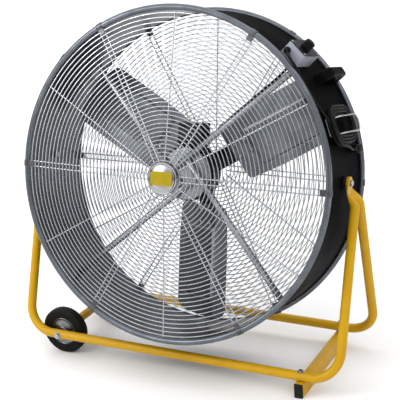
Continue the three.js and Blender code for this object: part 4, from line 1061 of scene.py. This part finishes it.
floor_place = np.array([joints["front_wheel_spin"]["pos_m"][0] + AXLE_X * MM,
                        joints["drum_tilt"]["pos_m"][1], 0.0])
foot_section = rounded_rectangle(FOOT_HALF_HEIGHT, FOOT_HALF_WIDTH, 4)
foot_shape = lay(prism(foot_section, -FOOT_HALF_LENGTH, FOOT_HALF_LENGTH, 0.5, 2), "y",
                 (FOOT_BAR_X, 0, FOOT_HALF_HEIGHT))
make("foot_tube", "stand", powder_yellow, skin(level(foot_shape, floor_place)), slot="yellow_paint",
     replaces=("foot_bar",))
for end, side in (("front", -1), ("rear", 1)):
    cap = lay(prism(foot_section, FOOT_HALF_LENGTH + 0.3, FOOT_HALF_LENGTH + 4.3, 1.6), "y",
              (FOOT_BAR_X, 0, FOOT_HALF_HEIGHT)) * (1, side, 1)
    make(f"foot_plug_{end}", "stand", cap_black, skin(level(cap, floor_place)), slot="black_plastic",
         replaces=(f"foot_cap_{end}",))
    make(f"foot_fastener_{end}", "stand", bright_zinc,
         *[skin(on_stand(lay(shape, "z", (AXLE_X, side * RAIL_HALF_SPACING, TUBE_RADIUS + 0.3))))
           for shape in bolt(9.0, 1.4, 14.0, 6.0, 4.0, 41.0, 0.5, (32, 20), tip=(0.3, 0.5))],
         slot="bright_steel", replaces=(f"foot_bolt_{end}",))

# ---------------------------------------------------------------- axle and wheels
# A yellow tube holds the two wheels apart. Each wheel is a black rubber tyre on a pressed,
# plated disc, and turns on a bolt that goes through the rail into the tube.

AXLE_TUBE_HALF = 119.0

tyre_black = finish("tyre_black", (0.003, 0.003, 0.003), (0.007, 0.007, 0.0068), rough=(0.55, 0.75),
                    scale=25, grain=500, relief=0.0004, dusty=0.04, specular=0.12)
disc_silver = finish("disc_silver", (0.22, 0.23, 0.24), (0.15, 0.155, 0.16), metallic=1.0,
                     rough=(0.16, 0.3), scale=30, grain=700, relief=0.0001)
axle_shape = lay(prism(round_section(TUBE_RADIUS, 40), -AXLE_TUBE_HALF, AXLE_TUBE_HALF, 0.6, 2), "y",
                 (-AXLE_X, 0, 0))
make("axle_spacer_tube", "stand", powder_yellow, skin(on_stand(axle_shape)), slot="yellow_paint",
     replaces=("axle_tube",))
tyre_half = [(45.0, -15.5), (46.5, -16.6), (52, -17.4), (60, -17.9), (65, -17.8), (69.5, -16.6),
             (72.6, -14), (74.3, -10.5), (75.0, -6)]
tyre_profile = tyre_half + [(radius, -depth) for radius, depth in tyre_half[::-1]]
disc_profile = [(6.3, -21.7), (14.8, -21.7), (16, -20.6), (17.2, -17), (19, -16.0), (30, -15.4),
                (34, -14.0), (38, -13.8), (41.5, -15.6), (43.6, -16.5), (44.6, -15.6), (44.6, 15.6),
                (43.6, 16.5), (40.6, 16.5), (39.6, -11.0), (16, -11.5), (16, 19.7), (6.3, 19.7)]
for end, side in (("front", -1), ("rear", 1)):
    middle = joints[f"{end}_wheel_spin"]["pos_m"]
    for label, profile, material, slot_name in (("tyre", tyre_profile, tyre_black, "tyre_rubber"),
                                                ("wheel_disc", disc_profile, disc_silver, "bright_steel")):
        rings = lay(spin(profile, 96), "y") * (1, -side, 1)
        make(f"{end}_{label}_form", f"{end}_wheel", material, skin(level(rings, middle), along=True),
             slot=slot_name, replaces=(f"{end}_{label}",))
    reach_out = RAIL_HALF_SPACING + TUBE_RADIUS + 0.3
    make(f"axle_fastener_{end}", "stand", bright_zinc,
         *[skin(on_stand((lay(shape, "y", (-AXLE_X, 0, 0)) + (0, reach_out, 0)) * (1, side, 1)))
           for shape in bolt(11.0, 1.8, 19.0, 7.0, 6.0, 92.0, tip=(0.4, 0.4))],
         slot="bright_steel", replaces=(f"axle_bolt_{end}",))

# ---------------------------------------------------------------- floor and light
# A plain pale floor lies under a soft sky that brightens upwards. A wide soft light stands
# at the front left, and a weak one at the right.

FLOOR_HALF = 40.0
SKY_LOW = 0.1  # height of the horizon's band, as the sine of its elevation
SKY_HIGH = 0.75
HORIZON_LIGHT = 0.25
OVERHEAD_LIGHT = 1.7

floor_paint = finish("floor_paint", (0.86, 0.86, 0.86), (0.85, 0.85, 0.85), rough=(0.7, 0.8),
                     grain=60, relief=0.0)
floor_mesh = bpy.data.meshes.new("floor")
floor_corners = FLOOR_HALF * np.array([(-1, -1, 0), (1, -1, 0), (1, 1, 0), (-1, 1, 0)])
floor_mesh.from_pydata(floor_corners.tolist(), [], [(0, 1, 2, 3)])
floor_mesh.materials.append(floor_paint)
floor = bpy.data.objects.new("floor", floor_mesh)
bpy.context.scene.collection.objects.link(floor)

world = bpy.data.worlds.new("studio")
bpy.context.scene.world = world
world.use_nodes = True
sky = world.node_tree
way = sky.nodes.new("ShaderNodeTexCoord")
way_parts = sky.nodes.new("ShaderNodeSeparateXYZ")
sky.links.new(way.outputs["Generated"], way_parts.inputs["Vector"])
sky.nodes["Background"].inputs["Color"].default_value = (1, 1, 1, 1)
sky.links.new(add_ramp(sky, way_parts.outputs["Z"], SKY_LOW, SKY_HIGH, HORIZON_LIGHT, OVERHEAD_LIGHT),
              sky.nodes["Background"].inputs["Strength"])


def softbox(name, place, aim, size, power):
    """A square area light at a place, turned to face another: its Z points back from the aim."""
    data = bpy.data.lights.new(name, "AREA")
    data.shape = "SQUARE"
    data.size = size
    data.energy = power
    lamp = bpy.data.objects.new(name, data)
    bpy.context.scene.collection.objects.link(lamp)
    back = np.array(place, float) - np.array(aim, float)
    back /= np.linalg.norm(back)
    side_way = np.cross((0, 0, 1), back)
    side_way /= np.linalg.norm(side_way)
    matrix = np.eye(4)
    matrix[:3, :3] = np.array([side_way, np.cross(back, side_way), back]).T
    matrix[:3, 3] = place
    lamp.matrix_world = Matrix(matrix.tolist())


softbox("key", (-2.4, -3.0, 2.3), (0, 0, 0.5), 2.0, 70)
softbox("fill", (3.0, -1.6, 1.6), (0, 0, 0.5), 2.0, 6)
bpy.context.scene.view_settings.view_transform = "Standard"
